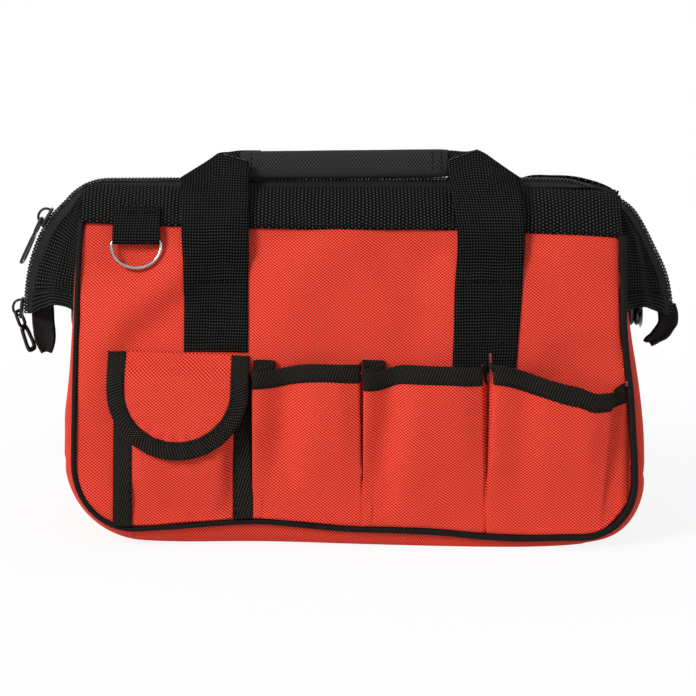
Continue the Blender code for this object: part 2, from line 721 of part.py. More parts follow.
def pocket_grid(side, limits, depth, low_z, edge, columns=10, rows=5):
    """Outer face of a pocket that stands off the panel and closes on it at both sides and below."""
    middle, reach = (limits[0] + limits[1]) / 2, (limits[1] - limits[0]) / 2
    grid = []
    for share in spread(0, 1, rows):
        line = []
        for u in spread(-1, 1, columns):
            u = math.sin(u * math.pi / 2)
            x = middle + reach * u
            low = max(low_z, pocket_corner_z(x))
            z = low + (interpolate(edge, x) - low) * share
            fill = 0.12 + 0.88 * smooth_step(share / 0.75)
            proud = GAP + CLOTH + depth * fill * (1 - abs(u) ** 3.2)
            line.append(on_face(side, x, z, proud))
        grid.append(line)
    return grid


def make_open_pockets(side, prefix, pockets, edge, body):
    grids = [pocket_grid(side, limits, POCKET_DEPTH, POCKET_LOW_Z, edge) for limits in pockets]
    for k, grid in enumerate(grids):
        sheet(f"{prefix}_pocket_{k + 1}", grid, CLOTH, "red_fabric", body)
    upper, lower = [], []
    for k, limits in enumerate(pockets):
        raised = lifted(pocket_grid(side, limits, POCKET_DEPTH, POCKET_LOW_Z, edge, rows=8), GAP)
        first = 0 if k == 0 else 1
        last = len(raised[-1]) if k + 1 == len(pockets) else -1
        if k > 0:
            x = (limits[0] + pockets[k - 1][1]) / 2
            proud = GAP + CLOTH + 0.0024
            upper.append(on_face(side, x, interpolate(edge, x), proud))
            lower.append(on_face(side, x, interpolate(edge, x) - BINDING_WIDTH, proud))
        upper += raised[-1][first:last]
        lower += [a.lerp(b, 0.10) for a, b in zip(raised[-2], raised[-1])][first:last]
    outer = lifted([lower, upper], BINDING)
    skin(f"{prefix}_pocket_binding", outer, [lower, upper], "black_webbing", body)


def flap_pocket_point(x, z):
    """Outer face of the pocket under the flap."""
    middle = (FLAP_POCKET_X[0] + FLAP_POCKET_X[1]) / 2
    reach = (FLAP_POCKET_X[1] - FLAP_POCKET_X[0]) / 2
    u = min(abs((x - middle) / reach), 1.0)
    fill = 0.15 + 0.85 * smooth_step((z - FLAP_POCKET_Z[0]) / 0.030)
    return GAP + CLOTH + FLAP_POCKET_DEPTH * fill * (1 - u ** 4)


def make_flap_pocket(body):
    middle = (FLAP_POCKET_X[0] + FLAP_POCKET_X[1]) / 2
    reach = (FLAP_POCKET_X[1] - FLAP_POCKET_X[0]) / 2
    columns = [middle + reach * math.sin(u * math.pi / 2) for u in spread(-1, 1, 12)]
    heights = spread(*FLAP_POCKET_Z, 8)
    grid = [[on_face(FRONT, x, z, flap_pocket_point(x, z)) for x in columns] for z in heights]
    sheet("flap_pocket", grid, CLOTH, "red_fabric", body)
    inner, outer = lifted(grid, 1.8 * GAP), lifted(grid, 1.8 * GAP + BINDING)
    for name, picked in (("flap_pocket_left_binding", slice(0, 5)), ("flap_pocket_right_binding", slice(8, 13))):
        skin(name, [line[picked] for line in outer], [line[picked] for line in inner], "black_webbing", body)


def flap_point(x, z):
    """Outer face of the closed flap, which comes off the panel at its top and lies over the pocket."""
    middle = (FLAP_X[0] + FLAP_X[1]) / 2
    reach = (FLAP_X[1] - FLAP_X[0]) / 2
    u = min(abs((x - middle) / reach), 1.0)
    over = smooth_step((FLAP_HINGE_Z - z) / 0.012)
    high = FLAP_POCKET_DEPTH * (1 - 0.25 * u ** 4) + FLAP_LIFT
    return FLAP_SEAM_PROUD + (high - FLAP_SEAM_PROUD) * over


def make_flap(body):
    """Flap with a U-shaped lower edge, and the binding along that edge."""
    middle = (FLAP_X[0] + FLAP_X[1]) / 2
    reach = (FLAP_X[1] - FLAP_X[0]) / 2

    def reach_at(z, trim):
        rise = z - FLAP_LOW_Z - trim
        if rise >= FLAP_CORNER - trim:
            return reach - trim
        radius = FLAP_CORNER - trim
        return reach - trim - radius + math.sqrt(max(radius ** 2 - (radius - rise) ** 2, 0.0))

    inner_heights = [FLAP_LOW_Z + BINDING_WIDTH + h for h in (0.0, 0.0020, 0.0060, 0.0120, 0.0200)]
    inner_heights += [FLAP_HINGE_Z - h for h in FLAP_TOP_ROWS[::-1]]
    grid = []
    for z in inner_heights:
        span = reach_at(z, BINDING_WIDTH + GAP)
        grid.append([on_face(FRONT, middle + span * u, z, flap_point(middle + span * u, z))
                     for u in spread(-1, 1, 8)])
    sheet("pocket_flap", grid, CLOTH, "red_fabric", body)

    def ring(trim):
        low = FLAP_LOW_Z + trim
        radius = FLAP_CORNER - trim
        side_x = reach - trim
        half = [(side_x, FLAP_HINGE_Z - h) for h in FLAP_TOP_ROWS]
        for angle in spread(0, -90, 5):
            turn = math.radians(angle)
            half.append((side_x - radius + radius * math.cos(turn), low + radius + radius * math.sin(turn)))
        points = [(x, z) for x, z in half] + [(0.0, low)] + [(-x, z) for x, z in half[::-1]]
        return [on_face(FRONT, middle + x, z, flap_point(middle + x, z) + 0.0004) for x, z in points]

    edge = [ring(0.0), ring(BINDING_WIDTH * 0.5), ring(BINDING_WIDTH)]
    sheet("pocket_flap_binding", edge, CLOTH, "black_webbing", body)


def make_strap(side, hand, name, low_z, body):
    """Webbing sewn to a panel below a handle."""
    grid = []
    for z in spread(low_z, STRAP_TOP_Z, 3):
        edges = spread(STRAP_MIDDLE_X - STRAP_WIDTH / 2, STRAP_MIDDLE_X + STRAP_WIDTH / 2, 2)
        grid.append([on_face(side, hand * x, z, GAP + WEBBING) for x in edges])
    sheet(name, grid, WEBBING, "black_webbing", body)


def front_handle_profile():
    """Side view of the raised handle: up the panel and band, over the ridge and back. (y, z) as vectors."""
    start = face_distance(STRAP_MIDDLE_X, HANDLE_START_Z) + GAP + WEBBING
    points = [(-start, HANDLE_START_Z), (-0.0352, 0.1700), (-0.0300, 0.1830), (-0.0238, 0.1928), (-0.0196, 0.2020),
              (-0.0150, 0.2105), (-0.0070, 0.2168), (0.0015, 0.2188), (0.0090, 0.2170), (0.0165, 0.2130)]
    return smooth_path([Vector((0, y, z)) for y, z in points], 2)


def rear_handle_profile():
    """Side view of the handle that hangs down the rear, over the tops of the pockets."""
    start = face_distance(STRAP_MIDDLE_X, HANDLE_START_Z) + GAP + WEBBING + 0.0030
    points = [(start, HANDLE_START_Z + 0.0012), (0.0560, 0.1360), (0.0690, 0.1190), (0.0790, 0.1020),
              (0.0845, 0.0850), (0.0882, 0.0720), (0.0907, 0.0630)]
    return smooth_path([Vector((0, y, z)) for y, z in points], 3)


def make_handle(profile, prefix, cut_from, body):
    """Webbing loop: two legs, folded in at the top, and the middle run inside the grip's wrap."""
    outer_x = STRAP_MIDDLE_X + STRAP_WIDTH / 2
    inner_x = STRAP_MIDDLE_X - STRAP_WIDTH / 2
    rows = len(profile)
    grip_rows = 5
    grid = []
    for k, place in enumerate(profile):
        fold = max((k - cut_from) / (rows - 1 - cut_from), 0.0)
        edge = outer_x + (HANDLE_PEAK_X - outer_x) * min(fold * 1.5, 1.0)
        half = [inner_x * 0.5, inner_x, (inner_x + edge) / 2, edge]
        line = [Vector((-x, place.y, place.z)) for x in half[::-1]] + [Vector((x, place.y, place.z)) for x in half]
        grid.append(line)

    def keep(i, j):
        return j in (0, 1, 5, 6) or i >= rows - grip_rows

    sheet(f"{prefix}_handle_webbing", grid, WEBBING, "black_webbing", body, keep)
    span = profile[-grip_rows:]
    centre = sum(span, Vector()) / grip_rows
    along = (span[-1] - span[0]).normalized()
    square = along.cross(Vector((1, 0, 0))).normalized()
    towards_bag = (BAG_MIDDLE - centre).dot(square)
    centre = centre + square * math.copysign(WEBBING / 2, towards_bag)

    def ring(x, half_long, half_thick):
        points = []
        for step in range(16):
            turn = 2 * math.pi * step / 16
            points.append(centre + Vector((x, 0, 0)) + along * half_long * math.cos(turn)
                          + square * half_thick * math.sin(turn))
        return points

    stations = spread(-GRIP_HALF_LENGTH, GRIP_HALF_LENGTH, 4)
    outer = [ring(x, *GRIP_HALF) for x in stations]
    inner = [ring(x, GRIP_HALF[0] - GRIP_WALL * 0.6, GRIP_HALF[1] - GRIP_WALL) for x in stations]
    sleeve(f"{prefix}_grip", outer, inner, "black_tape", body)


def dring_axis(side, z):
    """Height and distance of a D-ring's straight bar."""
    return side * (face_distance(DRING_X, z) + DRING_PROUD)


def make_dring(side, hand, name, body):
    """D-shaped wire ring, straight bar on top, lying along the panel."""
    slope = (half_depth(DRING_Z - DRING_DROP) - half_depth(DRING_Z)) / DRING_DROP
    down = Vector((0, side * slope, -1)).normalized()
    start = Vector((hand * DRING_X, dring_axis(side, DRING_Z), DRING_Z))
    corner = 0.0019
    half = []
    for angle in spread(-90, 0, 3):
        turn = math.radians(angle)
        half.append((DRING_HALF_WIDTH - corner + corner * math.cos(turn), corner + corner * math.sin(turn)))
    for angle in spread(0, 90, 6)[1:]:
        turn = math.radians(angle)
        half.append((DRING_HALF_WIDTH * math.cos(turn), corner + (DRING_DROP - corner) * math.sin(turn)))
    flat = half + [(-u, v) for u, v in half[-2::-1]]
    tube(name, [start + Vector((u, 0, 0)) + down * v for u, v in flat], DRING_WIRE, "chrome", body, closed=True)


def make_dring_tab(side, hand, name, body):
    """Short webbing sewn to the band, folded round the D-ring's bar."""
    centre = (face_distance(DRING_X, DRING_Z) + DRING_PROUD, DRING_Z)
    hole_radius, loop_radius = DRING_WIRE + 0.0005, DRING_WIRE + 0.0005 + 0.0013
    band_low = (TOP_HALF_DEPTH + 0.0008, BAND_LOW_Z)
    lean = Vector((BAND_MIDDLE[0] - band_low[0], BAND_MIDDLE[1] - band_low[1])).normalized()
    out = Vector((lean.y, -lean.x))
    top = Vector(BAND_MIDDLE) + lean * 0.0040 + out * (GAP + 0.0004)
    low = Vector(band_low) + out * (GAP + 0.0004)
    outline = [tuple(top), tuple(top + out * 0.0018), tuple(low + out * 0.0018 + lean * 0.001)]
    for angle in spread(35, -215, 10):
        turn = math.radians(angle)
        outline.append((centre[0] + loop_radius * math.cos(turn), centre[1] + loop_radius * math.sin(turn)))
    outline.append(tuple(low))
    hole = []
    for turn in spread(0, 2 * math.pi, 10)[:-1]:
        hole.append((centre[0] + hole_radius * math.cos(turn), centre[1] + hole_radius * math.sin(turn)))

    def place(u, v, w):
        return Vector((hand * DRING_X - TAB_HALF_WIDTH + w, side * u, v))

    plate(name, [outline, hole], 2 * TAB_HALF_WIDTH, place, "black_webbing", body)


def make_bag():
    root = make_body("root", (0, 0, 0))
    carriage = make_body("carriage", (0, 0, PIVOT_Z), root)
    front_panel = make_body("front_body", (0, -BASE_HALF_DEPTH, SEAM_Z), root)
    rear_panel = make_body("rear_body", (0, BASE_HALF_DEPTH, SEAM_Z), root)
    front_gate = make_body("front_gate", (0, -BAR[0], BAR[1]), front_panel)
    rear_gate = make_body("rear_gate", (0, BAR[0], BAR[1]), rear_panel)
    arc_centre = (-SIDE_ARC_CENTRE[0], 0, SIDE_ARC_CENTRE[1])
    upper_slider = make_body("upper_slider_body", arc_centre, front_gate)
    lower_slider = make_body("lower_slider_body", arc_centre, front_gate)
    upper_pull = make_body("upper_pull_body", pull_pivot(UPPER_SLIDER_ANGLE), upper_slider)
    lower_pull = make_body("lower_pull_body", pull_pivot(LOWER_SLIDER_ANGLE), lower_slider)
    front_axis, rear_axis = front_handle_profile()[0], rear_handle_profile()[0]
    front_handle = make_body("front_handle_body", front_axis, front_panel)
    rear_handle = make_body("rear_handle_body", rear_axis, rear_panel)
    front_dring = make_body("front_dring_body", (-DRING_X, dring_axis(FRONT, DRING_Z), DRING_Z), front_panel)
    rear_dring = make_body("rear_dring_body", (DRING_X, dring_axis(REAR, DRING_Z), DRING_Z), rear_panel)
    flap_hinge = on_face(FRONT, (FLAP_X[0] + FLAP_X[1]) / 2, FLAP_HINGE_Z, 0.0018)
    flap = make_body("pocket_flap_body", flap_hinge, front_panel)

    make_bottom_and_gussets(root)
    make_base_board(root)
    for hand, word in ((LEFT, "left"), (RIGHT, "right")):
        make_rivet(hand, f"{word}_pivot_rivet", carriage)
        make_end_tab(hand, f"{word}_zip_end_tab", carriage)

    for side, prefix, gate, panel in ((FRONT, "front", front_gate, front_panel), (REAR, "rear", rear_gate, rear_panel)):
        make_rod(side, f"{prefix}_frame_rod", gate)
        make_coil(side, f"{prefix}_zip_coil", gate)
        make_tape(side, f"{prefix}_zip_tape", gate)
        make_panel(side, f"{prefix}_panel", panel)
        make_band(side, f"{prefix}_band", panel)
        make_piping(side, f"{prefix}_piping", panel)
        for hand, word in ((LEFT, "left"), (RIGHT, "right")):
            make_wing(side, hand, f"{prefix}_{word}_wing", gate)
            make_return(side, hand, f"{prefix}_{word}_return", panel)
            beside_flap = side == FRONT and hand == LEFT
            low_z = FLAP_SIDE_STRAP_LOW_Z if beside_flap else STRAP_LOW_Z
            make_strap(side, hand, f"{prefix}_{word}_strap", low_z, panel)

    make_slider(UPPER_SLIDER_ANGLE, "upper_slider", upper_slider)
    make_slider(LOWER_SLIDER_ANGLE, "lower_slider", lower_slider)
    turn = math.radians(UPPER_SLIDER_ANGLE)
    make_pull(UPPER_SLIDER_ANGLE, Vector((-math.sin(turn), 0, -math.cos(turn))), "upper_pull", upper_pull)
    make_pull(LOWER_SLIDER_ANGLE, Vector((0, 0, -1)), "lower_pull", lower_pull)

    make_flap_pocket(front_panel)
    make_flap(flap)
    make_open_pockets(FRONT, "front", FRONT_POCKETS, FRONT_POCKET_EDGE, front_panel)
    make_open_pockets(REAR, "rear", REAR_POCKETS, REAR_POCKET_EDGE, rear_panel)

    make_handle(front_handle_profile(), "front", 8, front_handle)
    make_handle(rear_handle_profile(), "rear", 10, rear_handle)
    make_dring_tab(FRONT, LEFT, "front_dring_tab", front_panel)
    make_dring_tab(REAR, RIGHT, "rear_dring_tab", rear_panel)
    make_dring(FRONT, LEFT, "front_dring", front_dring)
    make_dring(REAR, RIGHT, "rear_dring", rear_dring)


clear_scene()
make_bag()
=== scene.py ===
"""Looks of the tool bag: cloth shells, webbing, zip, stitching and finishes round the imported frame.

Metres, +Z up, the same frame as the model. The front looks towards -Y, and left is -X.
"""

import math

import bmesh
import bpy
from mathutils import Matrix, Vector, noise


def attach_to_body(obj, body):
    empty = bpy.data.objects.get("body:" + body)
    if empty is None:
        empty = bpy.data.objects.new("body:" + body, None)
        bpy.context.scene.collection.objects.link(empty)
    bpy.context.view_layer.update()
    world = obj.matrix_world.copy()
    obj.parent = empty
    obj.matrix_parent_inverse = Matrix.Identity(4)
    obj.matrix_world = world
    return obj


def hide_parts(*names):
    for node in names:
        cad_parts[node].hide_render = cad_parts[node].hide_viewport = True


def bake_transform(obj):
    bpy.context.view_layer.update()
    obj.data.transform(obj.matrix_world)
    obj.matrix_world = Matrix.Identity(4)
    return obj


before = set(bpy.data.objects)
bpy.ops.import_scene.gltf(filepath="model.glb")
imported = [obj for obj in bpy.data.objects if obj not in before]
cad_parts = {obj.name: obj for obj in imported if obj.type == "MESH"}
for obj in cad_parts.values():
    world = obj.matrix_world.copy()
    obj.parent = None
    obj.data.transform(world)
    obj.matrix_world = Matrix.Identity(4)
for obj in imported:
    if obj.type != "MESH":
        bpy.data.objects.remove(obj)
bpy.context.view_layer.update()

FRONT, REAR = -1, 1
LEFT, RIGHT = -1, 1
HANDS = ((LEFT, "left"), (RIGHT, "right"))

# Body, as in the model
SEAM_Z = 0.01
BASE_HALF_DEPTH = 0.08
TOP_HALF_DEPTH = 0.028
BAND_LOW_Z = 0.178
BAND_TALL = 0.022
BAND_PROFILE = ((0.029, 0.178), (0.0262, 0.1822), (0.0217, 0.1882), (0.0165, 0.194), (0.012, 0.1978),
                (0.0078, 0.2002))
BODY_HALF_WIDTH = 0.161
TOP_NARROWING = 0.0055
PANEL_BULGE = 0.004
PANEL_EDGE_TUCK = 0.0016   # how far a panel's cloth goes in beside the piping
PANEL_TOP_TUCK = 0.0014    # and under the band
SIDE_BULGE = {
    LEFT: ((0.03, 0.0066), (0.05, 0.0072), (0.064, 0.0074), (0.071, 0.0078), (0.078, 0.0075), (0.085, 0.0069),
           (0.099, 0.0058), (0.112, 0.0052), (0.13, 0.0046)),
    RIGHT: ((0.03, 0.0068), (0.05, 0.0068), (0.064, 0.007), (0.078, 0.0066), (0.085, 0.0062), (0.099, 0.0052),
            (0.112, 0.0036), (0.13, 0.0018)),
}
CORNER_LIFT = ((0.095, 0.0), (0.112, 0.0005), (0.126, 0.0014), (0.136, 0.0028), (0.15, 0.0034))
BOTTOM_ROLL = {LEFT: 0.0115, RIGHT: 0.0015}
SIDE_SEAM_Z = {LEFT: 0.0475, RIGHT: 0.0385}
GUSSET_TOP_Z = 0.152
PIVOT_CLEAR_X = 0.1604     # the side cloth stays inside this beside the pivot
PIPING_RADIUS = {LEFT: 0.0016, RIGHT: 0.0021}
BAG_MIDDLE = Vector((0, 0, 0.1))

# Outline of the front as photographed: half width by height, and how far its seams rise by x
FRONT_EDGE = {
    LEFT: ((0.01, 0.164), (0.06, 0.164), (0.092, 0.1636), (0.122, 0.1632), (0.139, 0.1629), (0.161, 0.1619),
           (0.178, 0.1606), (0.2, 0.158)),
    RIGHT: ((0.01, 0.1605), (0.054, 0.1605), (0.069, 0.1598), (0.093, 0.1585), (0.109, 0.1566), (0.129, 0.1552),
            (0.178, 0.1548), (0.2, 0.1535)),
}
CORNER_RADIUS = {(FRONT, LEFT): 0.035, (FRONT, RIGHT): 0.03, (REAR, LEFT): 0.025, (REAR, RIGHT): 0.025}
MIDDLE_CORNER_RADIUS = {LEFT: 0.036, RIGHT: 0.028}
BOTTOM_RISE = ((-0.164, 0.002), (-0.131, 0.0013), (-0.109, 0.0024), (-0.084, 0.0043), (-0.06, 0.0056),
               (-0.041, 0.0046), (-0.008, 0.0018), (0.025, 0.0007), (0.048, -0.0004), (0.074, -0.0027),
               (0.097, -0.0036), (0.118, -0.0033), (0.16, -0.003))
BAND_RISE = ((-0.16, 0.005), (-0.121, 0.0033), (-0.062, 0.0014), (0.002, 0.0006), (0.059, 0.0004),
             (0.098, -0.0014), (0.118, -0.0024), (0.155, -0.0046))
REAR_RIDGE_RISE = ((0.09, 0.0), (0.103, 0.0046), (0.115, 0.0046), (0.127, 0.0042), (0.139, 0.0018),
                   (0.1505, -0.0024), (0.156, -0.0066))
RIDGE_RISE = ((-0.16, 0.0016), (-0.06, 0.0), (0.06, 0.0), (0.136, -0.0014), (0.148, -0.0032), (0.1556, -0.0068))

# Soft folds of the front panel: from and to as (x, z), width and height. The rear has them half as high
FRONT_FOLDS = (
    ((-0.158, 0.116), (-0.104, 0.154), 0.0125, 0.0044),
    ((-0.132, 0.112), (-0.1, 0.138), 0.008, -0.0022),
    ((-0.156, 0.15), (-0.122, 0.16), 0.009, -0.0026),
    ((-0.05, 0.12), (-0.02, 0.17), 0.02, 0.0026),
    ((0.03, 0.112), (0.05, 0.17), 0.013, -0.002),
    ((0.103, 0.152), (0.14, 0.134), 0.006, -0.0014),
    ((0.108, 0.17), (0.15, 0.16), 0.011, 0.0018),
    ((-0.157, 0.03), (-0.148, 0.09), 0.006, 0.0012),
)

# Zip
SIDE_ARC_CENTRE = (0.0695, 0.1108)
ARC_LOW, ARC_HIGH, CORNER_HIGH = 5.5, 38.0, 88.0
SIDE_RADIUS = {LEFT: ((5.5, 0.1298), (12.0, 0.1312), (18.0, 0.1324), (25.0, 0.1332), (31.0, 0.133),
                      (38.0, 0.1306)),
               RIGHT: ((5.5, 0.12), (17.0, 0.1208), (27.0, 0.1198), (38.0, 0.1212))}
RIDGE_Z = 0.2037
ZIP_DIP = 0.0042           # how far the zip sags at its right corner
TEETH_PITCH = 0.00205
TEETH_WIRE = 0.0005
TAPE_WIDTH = 0.0078
RIDGE_TAPE_WIDTH = 0.005
WING_BREAK = 0.62          # share of a wing's inner edge that runs along the panel
WING_OUT = Vector((0.55, 0.75, 0.3)).normalized()
WING_INSIDE = Vector((0, 0, 0.15))
HEM_ROWS = 6
HEM_LIFT = 0.0009
HEM_LOW = Vector((0, 0, -0.0012))
BLEND_SLOPE = 0.299        # the gate and panel meet along planes that lean by this much
WING_LOW_Z = {LEFT: 0.1318, RIGHT: 0.1308}

# Sliders
SLIDER_ANGLE = {"upper": 31.4, "lower": 6.6}
SLIDER_RADIUS = {"upper": 0.1328, "lower": 0.1306}
SLIDER_PLATE = (-0.0064, 0.0064, 0.0036, 0.0042)  # its ends along the zip, and its half widths there
SLIDER_FACES = (0.0004, 0.0024)
CROWN = (0.0048, 0.0018, 0.005)  # half length, height of its feet and rise
CROWN_RADIUS = 0.0008
PLATE_BEVEL, PULL_BEVEL, BEVEL_ANGLE = 0.0006, 0.0003, 35
OUTLINE_POINTS = 28        # of each rounded outline
PULL_HALF_THICKNESS = 0.0008
PULL_PIVOT = (-0.0024, 0.0043)
PULL_LENGTH = {"upper": 0.03, "lower": 0.026}
PULL_TWIST = {"upper": 10.0, "lower": 32.0}
PULL_DIRECTION = {"upper": (-0.427, 0, -0.903), "lower": (0.33, 0, -0.944)}

# Zip end tabs: share along the fold, distance out and height of its middle
END_TAB = {LEFT: ((0.0, 0.1885, 0.1315), (0.4, 0.188, 0.119), (1.0, 0.1868, 0.0988)),
           RIGHT: ((0.0, 0.185, 0.129), (0.35, 0.1866, 0.119), (0.65, 0.183, 0.111), (1.0, 0.175, 0.1045))}
END_TAB_HALF_WIDTH = {LEFT: 0.0058, RIGHT: 0.005}

# Straps and handles. LEG_SIDES: inner and outer |x| of a front leg by height
LEG_SIDES = {
    LEFT: (((0.11, 0.0635), (0.144, 0.0631), (0.178, 0.0627), (0.21, 0.0637)),
           ((0.11, 0.1004), (0.144, 0.1006), (0.178, 0.102), (0.21, 0.1034))),
    RIGHT: (((0.1, 0.0551), (0.144, 0.057), (0.178, 0.0583), (0.21, 0.0532)),
            ((0.1, 0.0922), (0.144, 0.096), (0.178, 0.0979), (0.21, 0.0952))),
}
LEG_LEAN = ((0.156, 0.0392), (0.17, 0.0366), (0.18, 0.0334), (0.19, 0.0274), (0.2, 0.0203), (0.208, 0.015),
            (0.214, 0.01), (0.22, 0.005), (0.224, 0.002))
FOLD_Z = 0.198
LEG_TOP = {LEFT: ((0.0, 0.2155), (0.3, 0.2185), (0.45, 0.2196), (0.6, 0.216), (1.0, 0.207)),
           RIGHT: ((0.0, 0.2158), (0.3, 0.2198), (0.45, 0.2219), (0.6, 0.2178), (1.0, 0.207))}
STRAP_LOW_Z = {LEFT: 0.1105, RIGHT: 0.099}
STRAP_STITCHES = {LEFT: (0.1494, 0.1333, 0.1135), RIGHT: (0.1494, 0.1333, 0.115)}
STRAP_X = 0.081
STRAP_WIDTH = 0.038
WEBBING = 0.002
HANDLE_START_Z = 0.1493
GRIP_X = (-0.0692, 0.054)
SLEEVE_HALF = (0.0096, 0.0041)
SLEEVE_DROP = (0.0022, 0.0006)  # how far the sleeve hangs at its left and right end
SLEEVE_POWER = 0.7         # 1 makes its section an ellipse, and less makes it squarer
SLEEVE_SEAMS = (0.0066, 0.0096, 0.0042)  # one from the left end and two from the right end
FRONT_GRIP_EDGES = ((-0.0035, 0.2058), (0.01, 0.2206))  # lower and upper edge as (y, z)
REAR_GRIP_X = (-0.06, 0.06)
REAR_RUN_HALF = 0.0985
REAR_HANDLE_BENDS = ((0.056, 0.136), (0.069, 0.119), (0.079, 0.102), (0.0845, 0.085), (0.0882, 0.072),
                     (0.0907, 0.063))

# D-rings
DRING_X = 0.1285
DRING_HALF_WIDTH = 0.0145
DRING_DROP = 0.0162
DRING_WIRE = 0.00098
DRING_Z = 0.1725
DRING_PROUD = 0.0042
DRING_CORNER = 0.003
TAB_HALF_WIDTH = 0.0137
TAB_LOOP_RADIUS = 0.0024
TAB_PROFILE = ((0.0236, 0.189), (0.0252, 0.188), (0.0268, 0.1862), (0.031, 0.1805), (0.0345, 0.176))
TAB_BACK = ((0.0318, 0.1745), (0.0302, 0.1772))

# Flap pocket
FLAP_POCKET_X = (-0.1405, -0.0605)
FLAP_POCKET_TOP = 0.0955
FLAP_POCKET_DEPTH = 0.011
FLAP_ACROSS = ((-0.1405, 0.0), (-0.1392, 0.34), (-0.133, 0.72), (-0.127, 0.93), (-0.115, 1.0), (-0.09, 1.0),
               (-0.0785, 0.94), (-0.0755, 0.72), (-0.0738, 0.32), (-0.0715, 0.2), (-0.0615, 0.17), (-0.0605, 0.0))
FLAP_X = (-0.1437, -0.0626)
FLAP_HINGE = (0.1112, 0.1088)  # height of the flap's seam at its left and right end
FLAP_BEND_Z = 0.0912
FLAP_LOW_Z = 0.0536
FLAP_CLOTH_TRIM = 0.0085   # the flap's cloth ends this far inside its edge, under the binding
BINDING_WIDTH = 0.0101
FLAP_BINDING_ROWS = ((-0.0004, -0.001), (0.0, 0.0003), (0.0008, 0.0011), (0.005, 0.0012),
                     (BINDING_WIDTH - 0.0006, 0.0011), (BINDING_WIDTH, 0.0004))  # distance in, and lift

# Open pockets, by x at the bottom and at the top. seams: the sewn sides. face: the sides of the full part.
# top: height of the upper edge. pleat: width of the fold on the left. dent: x low, x high, width and depth.
# seat: least share of the depth at the left and right side. back: height of the right side above the edge.
FRONT_POCKETS = (
    {"seams": ((-0.06, -0.06), (0.0022, 0.0022)), "face": ((-0.0606, -0.061), (0.0018, 0.002)),
     "seat": (0.0, 0.6), "pleat": 0.0125, "dent": (-0.046, -0.0415, 0.0115, 0.0072),
     "top": ((-0.061, 0.101), (-0.047, 0.1014), (-0.03, 0.105), (-0.018, 0.1054), (0.002, 0.1046))},
    {"seams": ((0.003, 0.003), (0.0738, 0.0752)), "face": ((0.0032, 0.0032), (0.073, 0.0724)),
     "seat": (0.0, 0.45), "pleat": 0.013, "dent": (0.011, 0.0215, 0.01, 0.0068),
     "top": ((0.003, 0.1009), (0.013, 0.1006), (0.024, 0.1033), (0.034, 0.1041), (0.055, 0.104), (0.073, 0.1033))},
    {"seams": ((0.0744, 0.0768), (0.156, 0.156)), "face": ((0.0746, 0.0786), (0.1402, 0.1478)),
     "seat": (0.45, 0.0), "back": 0.004, "dent": (0.092, 0.098, 0.009, 0.0024),
     "top": ((0.078, 0.1047), (0.085, 0.1041), (0.0945, 0.1013), (0.1105, 0.0962), (0.122, 0.0931), (0.13, 0.0914),
             (0.1365, 0.0884), (0.149, 0.0884))},
)
REAR_POCKETS = (
    {"seams": ((-0.153, -0.153), (-0.0522, -0.0522)), "face": ((-0.143, -0.1465), (-0.053, -0.053)),
     "top": ((-0.15, 0.103), (-0.1, 0.101), (-0.053, 0.104)), "dent": (-0.07, -0.08, 0.01, 0.003)},
    {"seams": ((-0.0514, -0.0514), (0.0514, 0.0514)), "face": ((-0.0508, -0.0508), (0.0508, 0.0508)),
     "top": ((-0.051, 0.102), (-0.02, 0.1046), (0.051, 0.104)), "dent": (-0.03, -0.012, 0.01, 0.0034),
     "pleat": 0.012},
    {"seams": ((0.0522, 0.0522), (0.153, 0.153)), "face": ((0.053, 0.053), (0.143, 0.1465)),
     "top": ((0.053, 0.1045), (0.1, 0.1012), (0.15, 0.103)), "dent": (0.08, 0.088, 0.01, 0.0026)},
)
POCKET_DEPTH = 0.0122

# Steps from a pocket's seam to its face: share of the way, share of the depth, height above the upper edge
POCKET_PLEAT = ((0.0, 0.05, 0.0048), (0.5, 0.12, 0.0048), (0.94, 0.24, 0.0044), (1.0, 0.34, 0.004),
                (1.0, 0.42, 0.0036), (0.94, 0.52, 0.003), (0.5, 0.62, 0.0014), (0.1, 0.7, 0.0004))
POCKET_LEFT = ((0.0, 0.03, 0.004), (0.35, 0.16, 0.0022), (0.75, 0.42, 0.001), (0.97, 0.7, 0.0))
POCKET_RIGHT = ((0.03, 0.74, 0.0), (0.13, 0.38, 0.0008), (0.4, 0.14, 0.0016))  # from the face on
# Rows of a pocket's binding: distance down from the edge, and lift off the cloth
BINDING_ROWS = ((0.0101, 0.0002), (0.0096, 0.001), (0.006, 0.0012), (0.002, 0.0012), (0.0, 0.0008),
                (-0.0008, 0.0), (-0.0002, -0.0012), (0.004, -0.0018))
BAR_TACKS = {FRONT: ((0.0098, 0.109, 0.0036, 0.0012, 0.0012), (0.0772, 0.1096, 0.015, 0.0036, 0.01),
                     (0.1562, 0.0935, 0.003, 0.003, 0.003)),
             REAR: ((-0.0518, 0.1085, 0.004, 0.002, 0.002), (0.0518, 0.1085, 0.004, 0.002, 0.002))}

# Thickness of the cloths
CLOTH = 0.0009
BAND_CLOTH = 0.0015
WING_CLOTH = 0.0014
FOLDED_CLOTH = 0.0012      # hems, tabs, sleeves and the flap's binding
FLAP_CLOTH = 0.001
ZIP_CLOTH = 0.0007
END_TAB_CLOTH = 0.0026
POCKET_BINDING = 0.0008

# Sewing
STITCH_LENGTH = 0.0026
STITCH_GAP = 0.0012
THREAD_RADIUS = 0.0003
TACK_STEP = 0.0005         # down a bar tack from one stitch to the next
TACK_SWING = 0.0007

# Distances from the centre plane, at z = 0.10, of the two leaning planes that blend_points gives for a piece held
# by two bodies
BAND_BLEND = (0.0664, 0.0744)
TAPE_BLEND = (0.065, 0.0725)
WING_BLEND = (0.055, 0.08)
SIDE_BLEND = (0.053, 0.0815)
